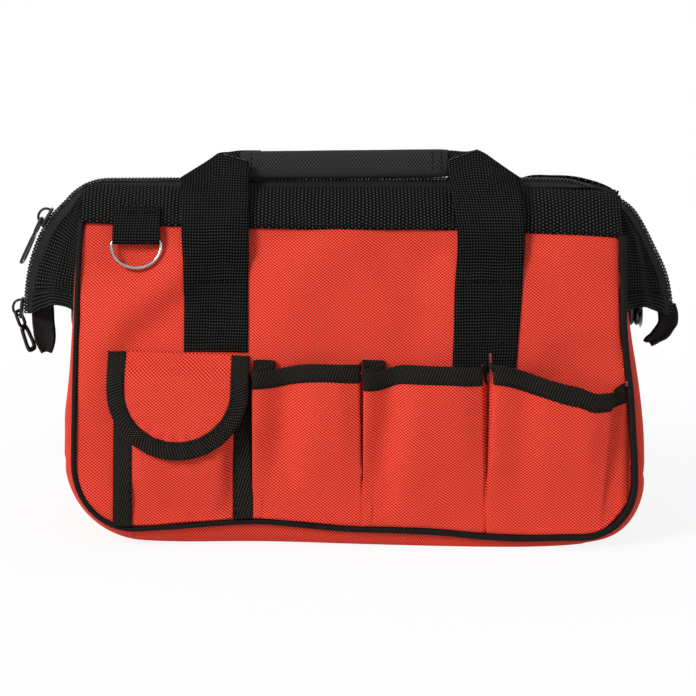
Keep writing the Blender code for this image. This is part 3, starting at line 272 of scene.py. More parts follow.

# Tones, as linear red, green and blue
# The light and dark red and black are the weaves' tones on lit crests and in shaded hollows: painted highlight and
# painted shade.
RED_LIGHT = (0.99, 0.104, 0.06)
RED_DARK = (0.38, 0.003, 0.001)
BLACK_LIGHT = (0.06, 0.06, 0.056)
BLACK_DARK = (0.001, 0.001, 0.0009)
THREAD_PINK = (0.8, 0.16, 0.15)
WORN = 0.1                 # change of tone over soft patches of a cloth

# Loose cloth, and weave maps
FACE_SLOPE = 1.044         # length along a leaning face for each unit of height
CLOTH_FRAMES = 16          # steps of each loose cloth
CLOTH_SETTINGS = {"vertex_group_mass": "held", "quality": 6, "mass": 0.2, "tension_stiffness": 30,
                  "compression_stiffness": 30, "shear_stiffness": 10, "bending_stiffness": 6}
PANEL_SPARE = (0.02, 0.0014)  # share of spare cloth, and the furthest that it moves
FLAP_POCKET_SPARE = (0.015, 0.0007)
POCKET_SPARE = (0.012, 0.0006)

# Light, floor and camera
AMBIENT = 0.24
FLOOR_HALF = 6.0
FLOOR_GLOW = (0.88, 1.0)   # share of the floor's look that is plain white, near the bag and away from it
FLOOR_FADE = (0.22, 0.55)  # distances from the middle at which that share starts and stops to change
LAMPS = (("key", (-2.8, -2.4, 2.6), (1.4, 1.4), 158), ("fill", (3.0, -2.4, 1.8), (2.0, 2.0), 16),
         ("top", (0.2, 0.8, 3.4), (2.4, 2.4), 26))
CAMERA_DISTANCE = 1.5
CAMERA_ELEVATION = 12.0
LENS_PIXELS = 2495.0       # focal length in pixels of the 696 pixel frame
FRAME_PIXELS = 696
CENTRE_COLUMN, TARGET_ROW = 357.0, 350.05
TARGET_Z = 0.1


def spread(low, high, count):
    """count + 1 evenly spaced values from low to high."""
    return [low + (high - low) * k / count for k in range(count + 1)]


def turns(low, high, count):
    """count + 1 even steps from one angle to another, each with its cosine and sine."""
    return [(a, math.cos(math.radians(a)), math.sin(math.radians(a))) for a in spread(low, high, count)]


def clamped(t):
    return min(max(t, 0.0), 1.0)


def soft_bump(far, width):
    """1 in the middle of a soft bump, and near 0 from twice its width on."""
    return math.exp(-(far / width) ** 2)


def smooth_step(t):
    t = clamped(t)
    return t * t * (3 - 2 * t)


def mixed(a, b, share):
    return a + (b - a) * share


def through(table, x):
    """Value at x of a smooth curve through the (x, value) pairs."""
    if x <= table[0][0]:
        return table[0][1]
    for k, ((x0, v0), (x1, v1)) in enumerate(zip(table, table[1:])):
        if x <= x1:
            before, after = table[max(k - 1, 0)], table[min(k + 2, len(table) - 1)]
            slope0 = (v1 - before[1]) / (x1 - before[0])
            slope1 = (after[1] - v0) / (after[0] - x0)
            span = x1 - x0
            t = (x - x0) / span
            return (v0 * (1 + 2 * t) * (1 - t) ** 2 + v1 * t * t * (3 - 2 * t)
                    + span * (slope0 * t * (1 - t) ** 2 - slope1 * t * t * (1 - t)))
    return table[-1][1]


def smooth_path(points, per_span):
    """A Catmull-Rom curve through the points."""
    ends = [points[0] * 2 - points[1], *points, points[-1] * 2 - points[-2]]
    path = []
    for k in range(1, len(ends) - 2):
        a, b, c, d = ends[k - 1:k + 3]
        for step in range(per_span):
            t = step / per_span
            path.append((b * 2 + (c - a) * t + (a * 2 - b * 5 + c * 4 - d) * t ** 2
                         + (b * 3 - a - c * 3 + d) * t ** 3) / 2)
    path.append(points[-1].copy())
    return path


def placed(side, x, y, z):
    """A point of the front or rear, y being its distance from the centre plane."""
    return Vector((x, side * y, z))


def mirrored(side, hand, p):
    return placed(side, hand * p.x, p.y, p.z)


def wave(x, y, z, scale):
    """Smooth noise from -1 to 1, the same each run."""
    return noise.noise(Vector((x * scale + 3.1, y * scale + 1.7, z * scale + 5.3)))


class Graph:
    """Short calls for the nodes of a material or a world."""

    def __init__(self, owner):
        owner.use_nodes = True
        self.owner = owner
        self.tree = owner.node_tree
        self.shader = self.tree.nodes.get("Principled BSDF")

    def add(self, kind, inputs=(), **settings):
        made = self.tree.nodes.new(kind)
        for key, value in settings.items():
            setattr(made, key, value)
        for key, value in dict(inputs).items():
            self.put(made.inputs[key], value)
        return made

    def put(self, socket, value):
        if isinstance(value, bpy.types.NodeSocket):
            self.tree.links.new(value, socket)
        elif isinstance(value, tuple) and len(value) == 3 and socket.type == "RGBA":
            socket.default_value = (*value, 1)
        else:
            socket.default_value = value

    def math(self, operation, a, b=0.0):
        return self.add("ShaderNodeMath", {0: a, 1: b}, operation=operation).outputs[0]

    def scaled(self, value, low, high):
        """A 0 to 1 value spread from low to high."""
        return self.math("ADD", self.math("MULTIPLY", value, high - low), low)

    def mix(self, share, a, b):
        made = self.add("ShaderNodeMix", data_type="RGBA")
        self.put(made.inputs["Factor"], share)
        self.put(made.inputs["A"], a)
        self.put(made.inputs["B"], b)
        return made.outputs["Result"]

    def noise(self, coordinates, scale, detail):
        made = self.add("ShaderNodeTexNoise", {"Vector": coordinates, "Scale": scale, "Detail": detail})
        return made.outputs["Fac"]

    def object_place(self):
        return self.add("ShaderNodeTexCoord").outputs["Object"]

    def cloth_place(self):
        return self.add("ShaderNodeUVMap", uv_map="weave").outputs["UV"]

    def show(self, share, seen, other, output):
        """Sends the output a mix of two shaders, by the share of the one that is seen."""
        mixer = self.add("ShaderNodeMixShader", {0: share})
        self.put(mixer.inputs[1], other)
        self.put(mixer.inputs[2], seen)
        self.put(self.tree.nodes[output].inputs["Surface"], mixer.outputs[0])

    def finish(self, colour, roughness, bump=None, depth=0.0, strength=1.0, **constants):
        self.put(self.shader.inputs["Base Color"], colour)
        self.put(self.shader.inputs["Roughness"], roughness)
        for key, value in constants.items():
            self.put(self.shader.inputs[key.replace("_", " ")], value)
        if bump is not None:
            made = self.add("ShaderNodeBump", {"Height": bump, "Distance": depth, "Strength": strength})
            self.put(self.shader.inputs["Normal"], made.outputs["Normal"])
        return self.owner


def woven(name, light, dark, period, depth, roughness, shares=(0.0, 1.0), lean=0.0, sheen=0.0, level=0.14,
          gaps=(0.0, 0.0), twill=0.0):
    """Cloth whose threads cross with the given periods in metres, from the piece's own weave map.

    shares are the parts of the light tone where a thread lies low and high: painted shade in the weave's hollows
    and a painted highlight on its crests. gaps darken the lines between columns and between rows with painted
    shade, and twill strengthens one diagonal.
    """
    graph = Graph(bpy.data.materials.new(name))
    place = graph.cloth_place()
    split = graph.add("ShaderNodeSeparateXYZ", {0: place})
    sway = graph.scaled(graph.noise(place, 52.0, 1.0), -0.0009, 0.0009)
    u = graph.math("ADD", split.outputs[0], sway)
    v = graph.math("ADD", split.outputs[1], sway)
    slanted = graph.math("ADD", u, graph.math("MULTIPLY", v, lean))
    across = graph.math("SINE", graph.math("MULTIPLY", slanted, 2 * math.pi / period[0]))
    up = graph.math("SINE", graph.math("MULTIPLY", v, 2 * math.pi / period[1]))
    crossed = graph.math("MULTIPLY", across, up)
    if twill:
        rows = graph.math("MULTIPLY", v, 2 * math.pi / period[1])
        both = graph.math("ADD", graph.math("MULTIPLY", slanted, 2 * math.pi / period[0]), rows)
        crossed = graph.math("SUBTRACT", crossed, graph.math("MULTIPLY", graph.math("COSINE", both), twill))
    height = graph.scaled(crossed, 0.5, 1.0)
    # Painted shade darkens the gaps between threads, and the bump dips there as well.
    for thread, gap in zip((across, up), gaps):
        if gap:
            crest = graph.scaled(graph.math("MULTIPLY", thread, thread), 1 - gap, 1.0)
            height = graph.math("MULTIPLY", height, crest)
    # Each thread's height also sets its tone: painted highlight where it lies high, painted shade where it lies
    # low.
    share = graph.scaled(height, shares[0], shares[1])
    yarn = graph.scaled(graph.noise(place, 900.0, 2.0), -0.16, 0.16)
    patches = graph.noise(graph.object_place(), 22.0, 3.0)
    share = graph.math("ADD", graph.math("ADD", share, yarn), graph.scaled(patches, -WORN, WORN))
    colour = graph.mix(graph.math("MINIMUM", graph.math("MAXIMUM", share, 0.0), 1.0), dark, light)
    rough = graph.scaled(patches, roughness - 0.06, roughness + 0.06)
    return graph.finish(colour, rough, height, depth, 0.9, Sheen_Weight=sheen, Sheen_Roughness=0.45,
                        Specular_IOR_Level=level)


def plain(name, light, dark, roughness, grain, depth, level=0.5, **constants):
    """Metal, plastic or thread with a fine grain and soft clouds of tone, which on chrome are painted reflections.
    """
    graph = Graph(bpy.data.materials.new(name))
    place = graph.object_place()
    fine = graph.noise(place, grain, 3.0)
    colour = graph.mix(graph.scaled(graph.noise(place, 60.0, 2.0), -0.4, 1.4), dark, light)
    rough = graph.scaled(fine, roughness - 0.06, roughness + 0.06)
    return graph.finish(colour, rough, fine, depth, 0.5, Specular_IOR_Level=level, **constants)


# The woven finishes carry painted highlight on their threads' crests and painted shade in the hollows between them.
MATERIALS = {
    "red": woven("red_polyester", RED_LIGHT, RED_DARK, (0.00214, 0.0017), 0.00026, 0.72, (-0.9, 1.85),
                 sheen=0.03, level=0.1, twill=0.12),
    "webbing_rows": woven("webbing_up_and_down", BLACK_LIGHT, BLACK_DARK, (0.0016, 0.0035), 0.00045, 0.7,
                          (-1.9, 1.9), lean=0.5, level=0.04, gaps=(0.0, 0.8)),
    "webbing_columns": woven("webbing_along", BLACK_LIGHT, BLACK_DARK, (0.0042, 0.00208), 0.00055, 0.7,
                             (-1.8, 2.1), level=0.04, gaps=(0.65, 0.0)),
    "binding": woven("woven_binding", (0.046, 0.04, 0.033), (0.0014, 0.0012, 0.001), (0.0017, 0.0024), 0.0003,
                     0.72, (-1.6, 1.7), lean=0.35, level=0.04),
    "tape": woven("zip_tape", (0.022, 0.022, 0.021), (0.007, 0.007, 0.0067), (0.0013, 0.0012), 0.00006, 0.66,
                  level=0.05),
    "grip": woven("grip_twill", (0.04, 0.04, 0.04), (0.006, 0.006, 0.006), (0.002, 0.00165), 0.0001, 0.62,
                  (-0.5, 1.4), level=0.06),
    "piping": woven("piping_tape", (0.016, 0.014, 0.013), (0.004, 0.0036, 0.0034), (0.0014, 0.0013), 0.00014, 0.64,
                    level=0.06),
    "coil": plain("zip_coil", (0.044, 0.044, 0.042), (0.014, 0.014, 0.013), 0.42, 1400.0, 0.00002, 0.14),
    "thread": plain("black_thread", (0.018, 0.017, 0.016), (0.005, 0.005, 0.005), 0.66, 1400.0, 0.00004, 0.05),
    # Light grey thread for the legs' fold: partly frayed fibres, partly a painted highlight where the fold's edge
    # catches the light.
    "fray_and_edge_highlight": plain("frayed_edge_and_highlight", (0.11, 0.108, 0.1), (0.03, 0.029, 0.027), 0.7, 900.0, 0.00004, 0.05),
    "pink_thread": plain("red_thread", THREAD_PINK, (0.58, 0.05, 0.042), 0.6, 1400.0, 0.00004, 0.2),
    # The chrome's clouds from dark to light tone are painted reflections: dark bands and highlights on the ring.
    "chrome": plain("chrome", (0.62, 0.6, 0.57), (0.2, 0.19, 0.18), 0.14, 420.0, 0.00002, Metallic=1.0),
    "steel": plain("coated_steel", (0.085, 0.085, 0.087), (0.045, 0.045, 0.047), 0.42, 420.0, 0.00002,
                   Metallic=1.0),
    "dark_metal": plain("dark_coated_metal", (0.034, 0.034, 0.036), (0.012, 0.012, 0.013), 0.32, 420.0, 0.00002,
                        Metallic=0.75, Coat_Weight=0.15),
    "board": plain("board_cover", (0.024, 0.024, 0.025), (0.012, 0.012, 0.013), 0.66, 700.0, 0.0002, 0.3),
}


def attach(piece, hold, *nodes):
    """Fixes a piece to the body named by hold, or bakes its place in where hold is (body, body, start, end).

    The piece stands for the model's nodes that are named.
    """
    if isinstance(hold, str):
        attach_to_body(piece, hold)
    else:
        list(hold)
        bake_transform(piece)
    if nodes:
        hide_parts(*nodes)


def linked(name, data):
    made = bpy.data.objects.new(name, data)
    bpy.context.scene.collection.objects.link(made)
    return made


def link_mesh(name, points, faces, uvs, look, toward=None):
    """A mesh object with its weave map. toward is a point on the inner side of an open sheet."""
    mesh = bpy.data.meshes.new(name)
    build = bmesh.new()
    layer = build.loops.layers.uv.new("weave")
    corners = [build.verts.new(p) for p in points]
    for face in faces:
        made = build.faces.new([corners[k] for k in face])
        for loop, k in zip(made.loops, face):
            loop[layer].uv = uvs[k]
    if toward is None:
        bmesh.ops.recalc_face_normals(build, faces=build.faces)
    else:
        build.normal_update()
        total = sum(f.normal.dot(f.calc_center_median() - toward) * f.calc_area() for f in build.faces)
        if total < 0:
            bmesh.ops.reverse_faces(build, faces=build.faces)
    build.to_mesh(mesh)
    build.free()
    mesh.shade_smooth()
    mesh.materials.append(MATERIALS[look])
    piece = linked(name, mesh)
    return piece


def grid_faces(rows, columns, closed=False):
    """Quads of a grid of points. closed joins its last column to the first."""
    faces = []
    for i in range(rows - 1):
        for j in range(columns if closed else columns - 1):
            k = (j + 1) % columns
            faces.append((i * columns + j, i * columns + k, (i + 1) * columns + k, (i + 1) * columns + j))
    return faces


def thicken(piece, thickness):
    """Smooths a sheet and gives it its thickness on the inner side."""
    smooth = piece.modifiers.new("smooth", "SUBSURF")
    smooth.levels = smooth.render_levels = 1
    smooth.boundary_smooth = "PRESERVE_CORNERS"
    solid = piece.modifiers.new("thickness", "SOLIDIFY")
    solid.thickness = thickness
    solid.offset = -1


def cloth(name, grid, look, hold, *nodes, thickness=CLOTH, toward=BAG_MIDDLE, flat=False):
    """A sheet through a grid of points, fixed as attach does. toward is a point on its inner side.

    Its weave map runs in metres along its middle row and column, or straight on a face where it is flat.
    """
    rows, columns = len(grid), len(grid[0])
    along, up = [0.0], [0.0]
    for j in range(1, columns):
        along.append(along[-1] + (grid[rows // 2][j] - grid[rows // 2][j - 1]).length)
    for i in range(1, rows):
        up.append(up[-1] + (grid[i][columns // 2] - grid[i - 1][columns // 2]).length)
    uvs = [(along[j], up[i]) for i in range(rows) for j in range(columns)]
    if flat:
        uvs = [(p.x, p.z * FACE_SLOPE) for line in grid for p in line]
    piece = link_mesh(name, [p for line in grid for p in line], grid_faces(rows, columns), uvs, look, toward)
    thicken(piece, thickness)
    attach(piece, hold, *nodes)


def settled(grid, spare, reach):
    """Runs a sheet as loose cloth that is held along its border, and moves each point by at most reach."""
    rows, columns = len(grid), len(grid[0])
    mesh = bpy.data.meshes.new("loose")
    mesh.from_pydata([p for line in grid for p in line], [], grid_faces(rows, columns))
    sheet = linked("loose", mesh)
    scene = bpy.context.scene
    rim = {(i, j) for i in range(rows) for j in range(columns) if i in (0, rows - 1) or j in (0, columns - 1)}
    sheet.vertex_groups.new(name="held").add(sorted(i * columns + j for i, j in rim), 1.0, "REPLACE")
    loose = sheet.modifiers.new("loose", "CLOTH")
    for key, value in CLOTH_SETTINGS.items():
        setattr(loose.settings, key, value)
    loose.settings.shrink_min = -spare
    loose.settings.effector_weights.gravity = 0.0
    loose.point_cache.frame_start = 1
    loose.point_cache.frame_end = CLOTH_FRAMES
    for number in range(1, CLOTH_FRAMES + 1):
        scene.frame_set(number)
    shown = sheet.evaluated_get(bpy.context.evaluated_depsgraph_get())
    moves = [[shown.data.vertices[i * columns + j].co - grid[i][j] for j in range(columns)] for i in range(rows)]
    scene.frame_set(1)
    bpy.data.objects.remove(sheet)
    made = []
    for i in range(rows):
        line = []
        for j in range(columns):
            near = [moves[a][b] for a in (max(i - 1, 0), i, min(i + 1, rows - 1))
                    for b in (max(j - 1, 0), j, min(j + 1, columns - 1))]
            move = sum(near, Vector()) / len(near)
            if (i, j) in rim:
                move = Vector()
            line.append(grid[i][j] + move * (reach / max(move.length, reach)))
        made.append(line)
    return made


def ring_frames(path, closed):
    """Two directions square to a path at each point, carried along without twist."""
    count = len(path)
    frames = []
    across = None
    for k in range(count):
        ahead = path[(k + 1) % count] if closed or k + 1 < count else path[k]
        behind = path[k - 1] if closed or k > 0 else path[k]
        direction = (ahead - behind).normalized()
        if across is None:
            guess = Vector((0, 0, 1)) if abs(direction.z) < 0.9 else Vector((0, 1, 0))
            across = direction.cross(guess).normalized()
        across = (across - direction * across.dot(direction)).normalized()
        frames.append((across, direction.cross(across)))
    return frames


def tubes(name, paths, radius, look, hold, *nodes, sides, closed=False):
    """Round tubes in one piece, fixed as attach does. radius is a number, or one per point of a path."""
    points, faces, uvs = [], [], []
    for path in paths:
        first = len(points)
        length = 0.0
        for i, (place, (u, v)) in enumerate(zip(path, ring_frames(path, closed))):
            if i:
                length += (place - path[i - 1]).length
            r = radius[i] if isinstance(radius, list) else radius
            for k in range(sides):
                angle = 2 * math.pi * k / sides
                points.append(place + (u * math.cos(angle) + v * math.sin(angle)) * r)
                uvs.append((length, angle * r))
        count = len(path)
        rings = [first + i * sides for i in range(count)]
        for start, after in zip(rings, rings[1:] + (rings[:1] if closed else [])):
            for j in range(sides):
                k = (j + 1) % sides
                faces.append((start + j, start + k, after + k, after + j))
        if not closed:
            faces += [tuple(range(ring, ring + sides)) for ring in (first, rings[-1])]
    attach(link_mesh(name, points, faces, uvs, look), hold, *nodes)


def stitches(name, lines, look, hold, length=STITCH_LENGTH, gap=STITCH_GAP):
    """Rows of sewn thread. Each line is a list of points and the direction away from the cloth."""
    radius = THREAD_RADIUS
    paths = []
    for line, normal in lines:
        normal = normal.normalized()
        travelled, target = 0.0, gap
        start = None
        for p, q in zip(line, line[1:]):
            step = (q - p).length
            while step > 1e-9 and target <= travelled + step:
                place = p.lerp(q, (target - travelled) / step) + normal * radius * 0.6
                if start is None:
                    start = place
                    target += length
                else:
                    paths.append([start - normal * radius, start.lerp(place, 0.2) + normal * radius * 0.4,
                                  (start + place) / 2 + normal * radius * 0.8,
                                  start.lerp(place, 0.8) + normal * radius * 0.4, place - normal * radius])
                    start = None
                    target += gap
            travelled += step
    widths = [radius * share for share in (0.6, 1.0, 1.0, 1.0, 0.6)]
    tubes(name, paths, widths, look, hold, sides=5)


def panel_share(z):
    """Share of a panel's height: 0 at its lower seam and 1 at the band."""
    return (z - SEAM_Z) / (BAND_LOW_Z - SEAM_Z)


def half_depth(z):
    return mixed(BASE_HALF_DEPTH, TOP_HALF_DEPTH, panel_share(z))


def edge_x(side, hand, z):
    """Half the width of a face at its piping."""
    if side == FRONT:
        return through(FRONT_EDGE[hand], z)
    return BODY_HALF_WIDTH - TOP_NARROWING * max((z - 0.04) / 0.138, 0.0) ** 2


def rise(side, x, z):
    """How far the front's cloth stands above its even height z, as photographed."""
    if side == REAR:
        return 0.0
    low, band, ridge = through(BOTTOM_RISE, x), through(BAND_RISE, x), through(RIDGE_RISE, x)
    if z <= BAND_LOW_Z:
        return mixed(low, band, max(panel_share(z), 0.0))
    return mixed(band, ridge, smooth_step((z - BAND_LOW_Z) / BAND_TALL))


def face_reach(side, hand, z, trim):
    """Half the width inside the piping by trim, at an even height, round at the lower corner."""
    radius = CORNER_RADIUS[side, hand]
    climb = z - SEAM_Z
    if climb >= radius:
        return edge_x(side, hand, z) - trim
    squared = (radius - trim) ** 2 - (radius - climb) ** 2
    return edge_x(side, hand, SEAM_Z + radius) - radius + math.sqrt(max(squared, 0.0))


def fold_height(side, x, z):
    """Height of the soft folds of a face at a point."""
    total = 0.0013 * wave(x, side * 2.0, z, 13.0) + 0.0004 * wave(x, side * 4.0, z * 0.6, 34.0)
    for (x0, z0), (x1, z1), width, height in FRONT_FOLDS:
        dx, dz = x1 - x0, z1 - z0
        along = ((x - x0) * dx + (z - z0) * dz) / (dx * dx + dz * dz)
        t = clamped(along)
        far = math.hypot(x - x0 - dx * t, z - z0 - dz * t) / width
        total += height * math.exp(-far * far) * (1.0 if side == FRONT else 0.5)
    return total


def face_distance(side, x, z):
    """Distance from the centre plane to the outer face of a panel's cloth."""
    across = max(1 - (x / edge_x(side, LEFT if x < 0 else RIGHT, z)) ** 2, 0.0)
    up = math.sin(math.pi * clamped(panel_share(z)))
    held = min(across * 7, 1.0) * min(up * 5, 1.0)
    return half_depth(z) + PANEL_BULGE * across * up + fold_height(side, x, z) * held


def on_face(side, x, z, proud=0.0):
    return Vector((x, side * (face_distance(side, x, z) + proud), z))


def on_panel(side, x, z, proud):
    """A point of a face at its even height z."""
    return on_face(side, x, z + rise(side, x, z), proud)


def make_panel(side, name, body):
    heights = [SEAM_Z + h for h in (0.001, 0.0018, 0.0032, 0.0056, 0.009, 0.014, 0.02)]
    heights += spread(0.036, BAND_LOW_Z + 0.002, 30)
    trim = {LEFT: 0.001 if side == FRONT else 0.0018, RIGHT: 0.0021}
    grid = []
    for z in heights:
        left, right = -face_reach(side, LEFT, z, trim[LEFT]), face_reach(side, RIGHT, z, trim[RIGHT])
        line = []
        for u in spread(0, 1, 64):
            x = mixed(left, right, 0.5 - 0.5 * math.cos(math.pi * u) if u < 0.06 or u > 0.94 else u)
            near = 1 - min(min(x - left, right - x) / 0.0035, 1.0)
            tuck = PANEL_EDGE_TUCK * near ** 2 + PANEL_TOP_TUCK * smooth_step((z - 0.175) / 0.003)
            line.append(on_panel(side, x, z, 0.0004 - tuck))
        grid.append(line)
    cloth(f"{name}_cloth", settled(grid, *PANEL_SPARE), "red", body, name, flat=True)


def make_piping(side, name, body):
    halves = {}
    for hand in (LEFT, RIGHT):
        radius = CORNER_RADIUS[side, hand]
        half = [(edge_x(side, hand, z), z) for z in spread(0.179, SEAM_Z + radius, 30)]
        inner = half[-1][0] - radius
        half += [(inner + radius * c, SEAM_Z + radius - radius * s) for _, c, s in turns(0, 90, 12)[1:]]
        half += [(x, SEAM_Z) for x in spread(inner, 0, 20)[1:]]
        halves[hand] = [(hand * x, z) for x, z in half]
    path = []
    for x, z in halves[LEFT] + halves[RIGHT][-2::-1]:
        sway = 0.0003 * wave(x, side * 3.0, z, 40.0)
        z += rise(side, x, z)
        path.append(Vector((x + sway, side * (half_depth(z) + 0.0003), z + sway)))
    widths = [mixed(PIPING_RADIUS[LEFT], PIPING_RADIUS[RIGHT], smooth_step((p.x + 0.13) / 0.2)) for p in path]
    tubes(f"{name}_cord", [path], widths, "piping", body, name, sides=14)


def blend_points(side, low, high):
    """Ends of a blend from a gate to its panel, along planes that lean with the panel's edge."""
    lean = Vector((0, side, BLEND_SLOPE))
    base = Vector((0, side * (low - BLEND_SLOPE * 0.1), 0.1))
    return base, base + lean * (high - low) / lean.length_squared


def band_end(side, hand):
    return 0.156 if side == REAR else 0.1612 if hand == LEFT else 0.1556


def band_rise(side, x, z):
    if side == REAR:
        return through(REAR_RIDGE_RISE, x) * smooth_step((z - BAND_LOW_Z) / BAND_TALL)
    return rise(side, x, z)


def band_point(side, x, d, z, lift=0.0):
    """A point of the band from its profile at distance d and even height z."""
    ripple = 0.0005 * wave(x, side * 5.0, z, 24.0) + lift
    return Vector((x, side * (d + 0.0006 + ripple * 0.9), z + band_rise(side, x, z) + ripple * 0.4))


def make_band(side, name, gate, body):
    """Webbing along the top edge of a panel, with a closed seam at each end."""
    profile = smooth_path([Vector((0, d, z)) for d, z in BAND_PROFILE], 3)
    columns = spread(-band_end(side, LEFT), band_end(side, RIGHT), 90)
    grid = []
    for k, p in enumerate(profile):
        line = []
        for x in columns:
            hem = 0.0005 * wave(x, side * 7.0, 0.0, 55.0) if k == 0 else 0.0
            line.append(band_point(side, x, p.y, p.z + hem))
        grid.append(line)
    hold = (gate, body, *blend_points(side, *BAND_BLEND))
    cloth(f"{name}_webbing", grid, "webbing_columns", hold, name, thickness=BAND_CLOTH)
    places = spread(columns[0] + 0.002, columns[-1] - 0.002, 80)
    low = [band_point(side, x, 0.0279, 0.1797, 0.0004) for x in places]
    stitches(f"{name}_stitches", [(low, Vector((0, side, 0.5)))], "thread", body)


def zip_stations(hand):
    """Half of the zip's line, from its low end to the middle of the ridge: (|x|, z, normal |x|, normal z)."""
    stations = []
    for angle, c, s in turns(ARC_LOW, ARC_HIGH, 28):
        radius = through(SIDE_RADIUS[hand], angle)
        stations.append((SIDE_ARC_CENTRE[0] + radius * c, SIDE_ARC_CENTRE[1] + radius * s, c, s))
    x, z, normal_x, normal_z = stations[-1]
    radius = (RIDGE_Z - z) / (math.sin(math.radians(CORNER_HIGH)) - normal_z)
    centre = (x - radius * normal_x, z - radius * normal_z)
    for _, c, s in turns(ARC_HIGH, CORNER_HIGH, 20)[1:]:
        stations.append((centre[0] + radius * c, centre[1] + radius * s, c, s))
    x, z, _, _ = stations[-1]
    for share in spread(0, 1, 32)[1:]:
        stations.append((x * (1 - share), z + 0.0008 * share, 0.0, 1.0))
    if hand == RIGHT:
        stations = [(x, z - ZIP_DIP * soft_bump(x - 0.145, 0.015), nx, nz) for x, z, nx, nz in stations]
    return stations


def make_coil(side, name, body):
    """A continuous nylon coil: a flattened helix along the zip's line, its heads on the centre plane."""
    line = [(-x, z, -nx, nz) for x, z, nx, nz in zip_stations(LEFT)] + zip_stations(RIGHT)[-2::-1]
    lengths = [0.0]
    for (x0, z0, _, _), (x1, z1, _, _) in zip(line, line[1:]):
        lengths.append(lengths[-1] + math.hypot(x1 - x0, z1 - z0))
    windings = int(lengths[-1] / TEETH_PITCH)
    steps = 9
    path = []
    k = 0
    for step in range(windings * steps):
        angle = 2 * math.pi * step / steps + (math.pi if side == REAR else 0)
        travelled = lengths[-1] * step / (windings * steps)
        while lengths[k + 1] < travelled:
            k += 1
        share = (travelled - lengths[k]) / (lengths[k + 1] - lengths[k])
        x, z, nx, nz = [mixed(a, b, share) for a, b in zip(line[k], line[k + 1])]
        out = -0.0008 + 0.0011 * math.sin(angle)
        path.append(Vector((x + nx * out, side * (0.00125 + 0.00155 * math.cos(angle)), z + nz * out)))
    tubes(f"{name}_helix", [path], TEETH_WIRE, "coil", body, name, sides=5)


def band_distance(z):
    return through([(height, d) for d, height in BAND_PROFILE], z)


def wing_edge(side, hand, share):
    """Inner edge of a wing from its low end (0) along the panel and the band's end to its top (1)."""
    if share < WING_BREAK:
        z = mixed(WING_LOW_Z[hand], BAND_LOW_Z, share / WING_BREAK)
        x = edge_x(side, hand, z) - 0.0006
        return Vector((x, half_depth(z) - 0.0012, z))
    z = mixed(BAND_LOW_Z, BAND_PROFILE[-1][1], (share - WING_BREAK) / (1 - WING_BREAK))
    x = band_end(side, hand) - 0.0016
    return Vector((x, band_distance(z) - 0.0014, z + band_rise(side, hand * x, z) - 0.0006))


def beside_wing(hand):
    """Zip stations beside a wing, each with its share of the wing's inner edge."""
    beside = [s for s in zip_stations(hand) if s[0] > 0.153]
    return [(s, k / (len(beside) - 1)) for k, s in enumerate(beside)]


def tape_row(station, inner, width):
    """Points of the tape from under the coil outwards, front side taken as +Y."""
    x, z, nx, nz = station
    start = Vector((x - nx * 0.0013, 0.0012, z - nz * 0.0013))
    edge = Vector((x - nx * 0.0016, 0.0036, z - nz * 0.0016))
    direction = (inner - edge).normalized()
    return [start, edge] + [edge + direction * width * share for share in (0.35, 0.7, 1.0)]


def make_tape(side, name, gate, body):
    halves = {}
    for hand in (LEFT, RIGHT):
        shares = dict(beside_wing(hand))
        half = []
        for station in zip_stations(hand):
            if station in shares:
                width = mixed(TAPE_WIDTH, RIDGE_TAPE_WIDTH, smooth_step((station[1] - 0.19) / 0.01))
                row = tape_row(station, wing_edge(side, hand, shares[station]), width)
            else:
                row = tape_row(station, Vector((station[0], *BAND_PROFILE[-1])), RIDGE_TAPE_WIDTH)
            half.append([mirrored(side, hand, p) for p in row])
        halves[hand] = half
    hold = (gate, body, *blend_points(side, *TAPE_BLEND))
    cloth(f"{name}_cloth", halves[LEFT] + halves[RIGHT][-2::-1], "tape", hold, name, thickness=ZIP_CLOTH)


def make_wing(side, hand, name, gate, body):
    """Webbing between the zip's side run and the panel's edge, with soft folds and a hem along its low edge."""
    grid = []
    for station, share in beside_wing(hand):
        inner = wing_edge(side, hand, share)
        first = tape_row(station, inner, TAPE_WIDTH * 0.8)[4]
        line = []
        for part in spread(0, 1, 16):
            middle = 4 * part * (1 - part)
            fold = 0.001 * math.sin(9.5 * share + 4.0 * part + hand) + 0.0012 * math.cos(13 * part + 2.0 * share)
            valley = -0.003 * soft_bump(part - 0.86, 0.1) * min(share * 8, 1.0)
            out = (fold - 0.001) * middle + valley
            p = first.lerp(inner, part) + WING_OUT * out * min((1 - share) * 4, 1.0)
            p.z += 0.0052 * middle * max(1 - share * 5, 0.0)
            line.append(mirrored(side, hand, p))
        grid.append(line)
    hold = (gate, body, *blend_points(side, *WING_BLEND))
    cloth(f"{name}_webbing", grid, "webbing_rows", hold, name, thickness=WING_CLOTH, toward=WING_INSIDE)
    lift = mirrored(side, hand, WING_OUT) * HEM_LIFT
    hem = [[p + lift + (HEM_LOW if k == 0 else Vector()) for p in line] for k, line in enumerate(grid[:HEM_ROWS])]
    cloth(f"{name}_hem", hem, "webbing_rows", hold, thickness=FOLDED_CLOTH, toward=WING_INSIDE)
    stitches(f"{name}_stitches", [([p + lift * 0.6 for p in hem[-2][1:-1]], lift)], "thread", hold)


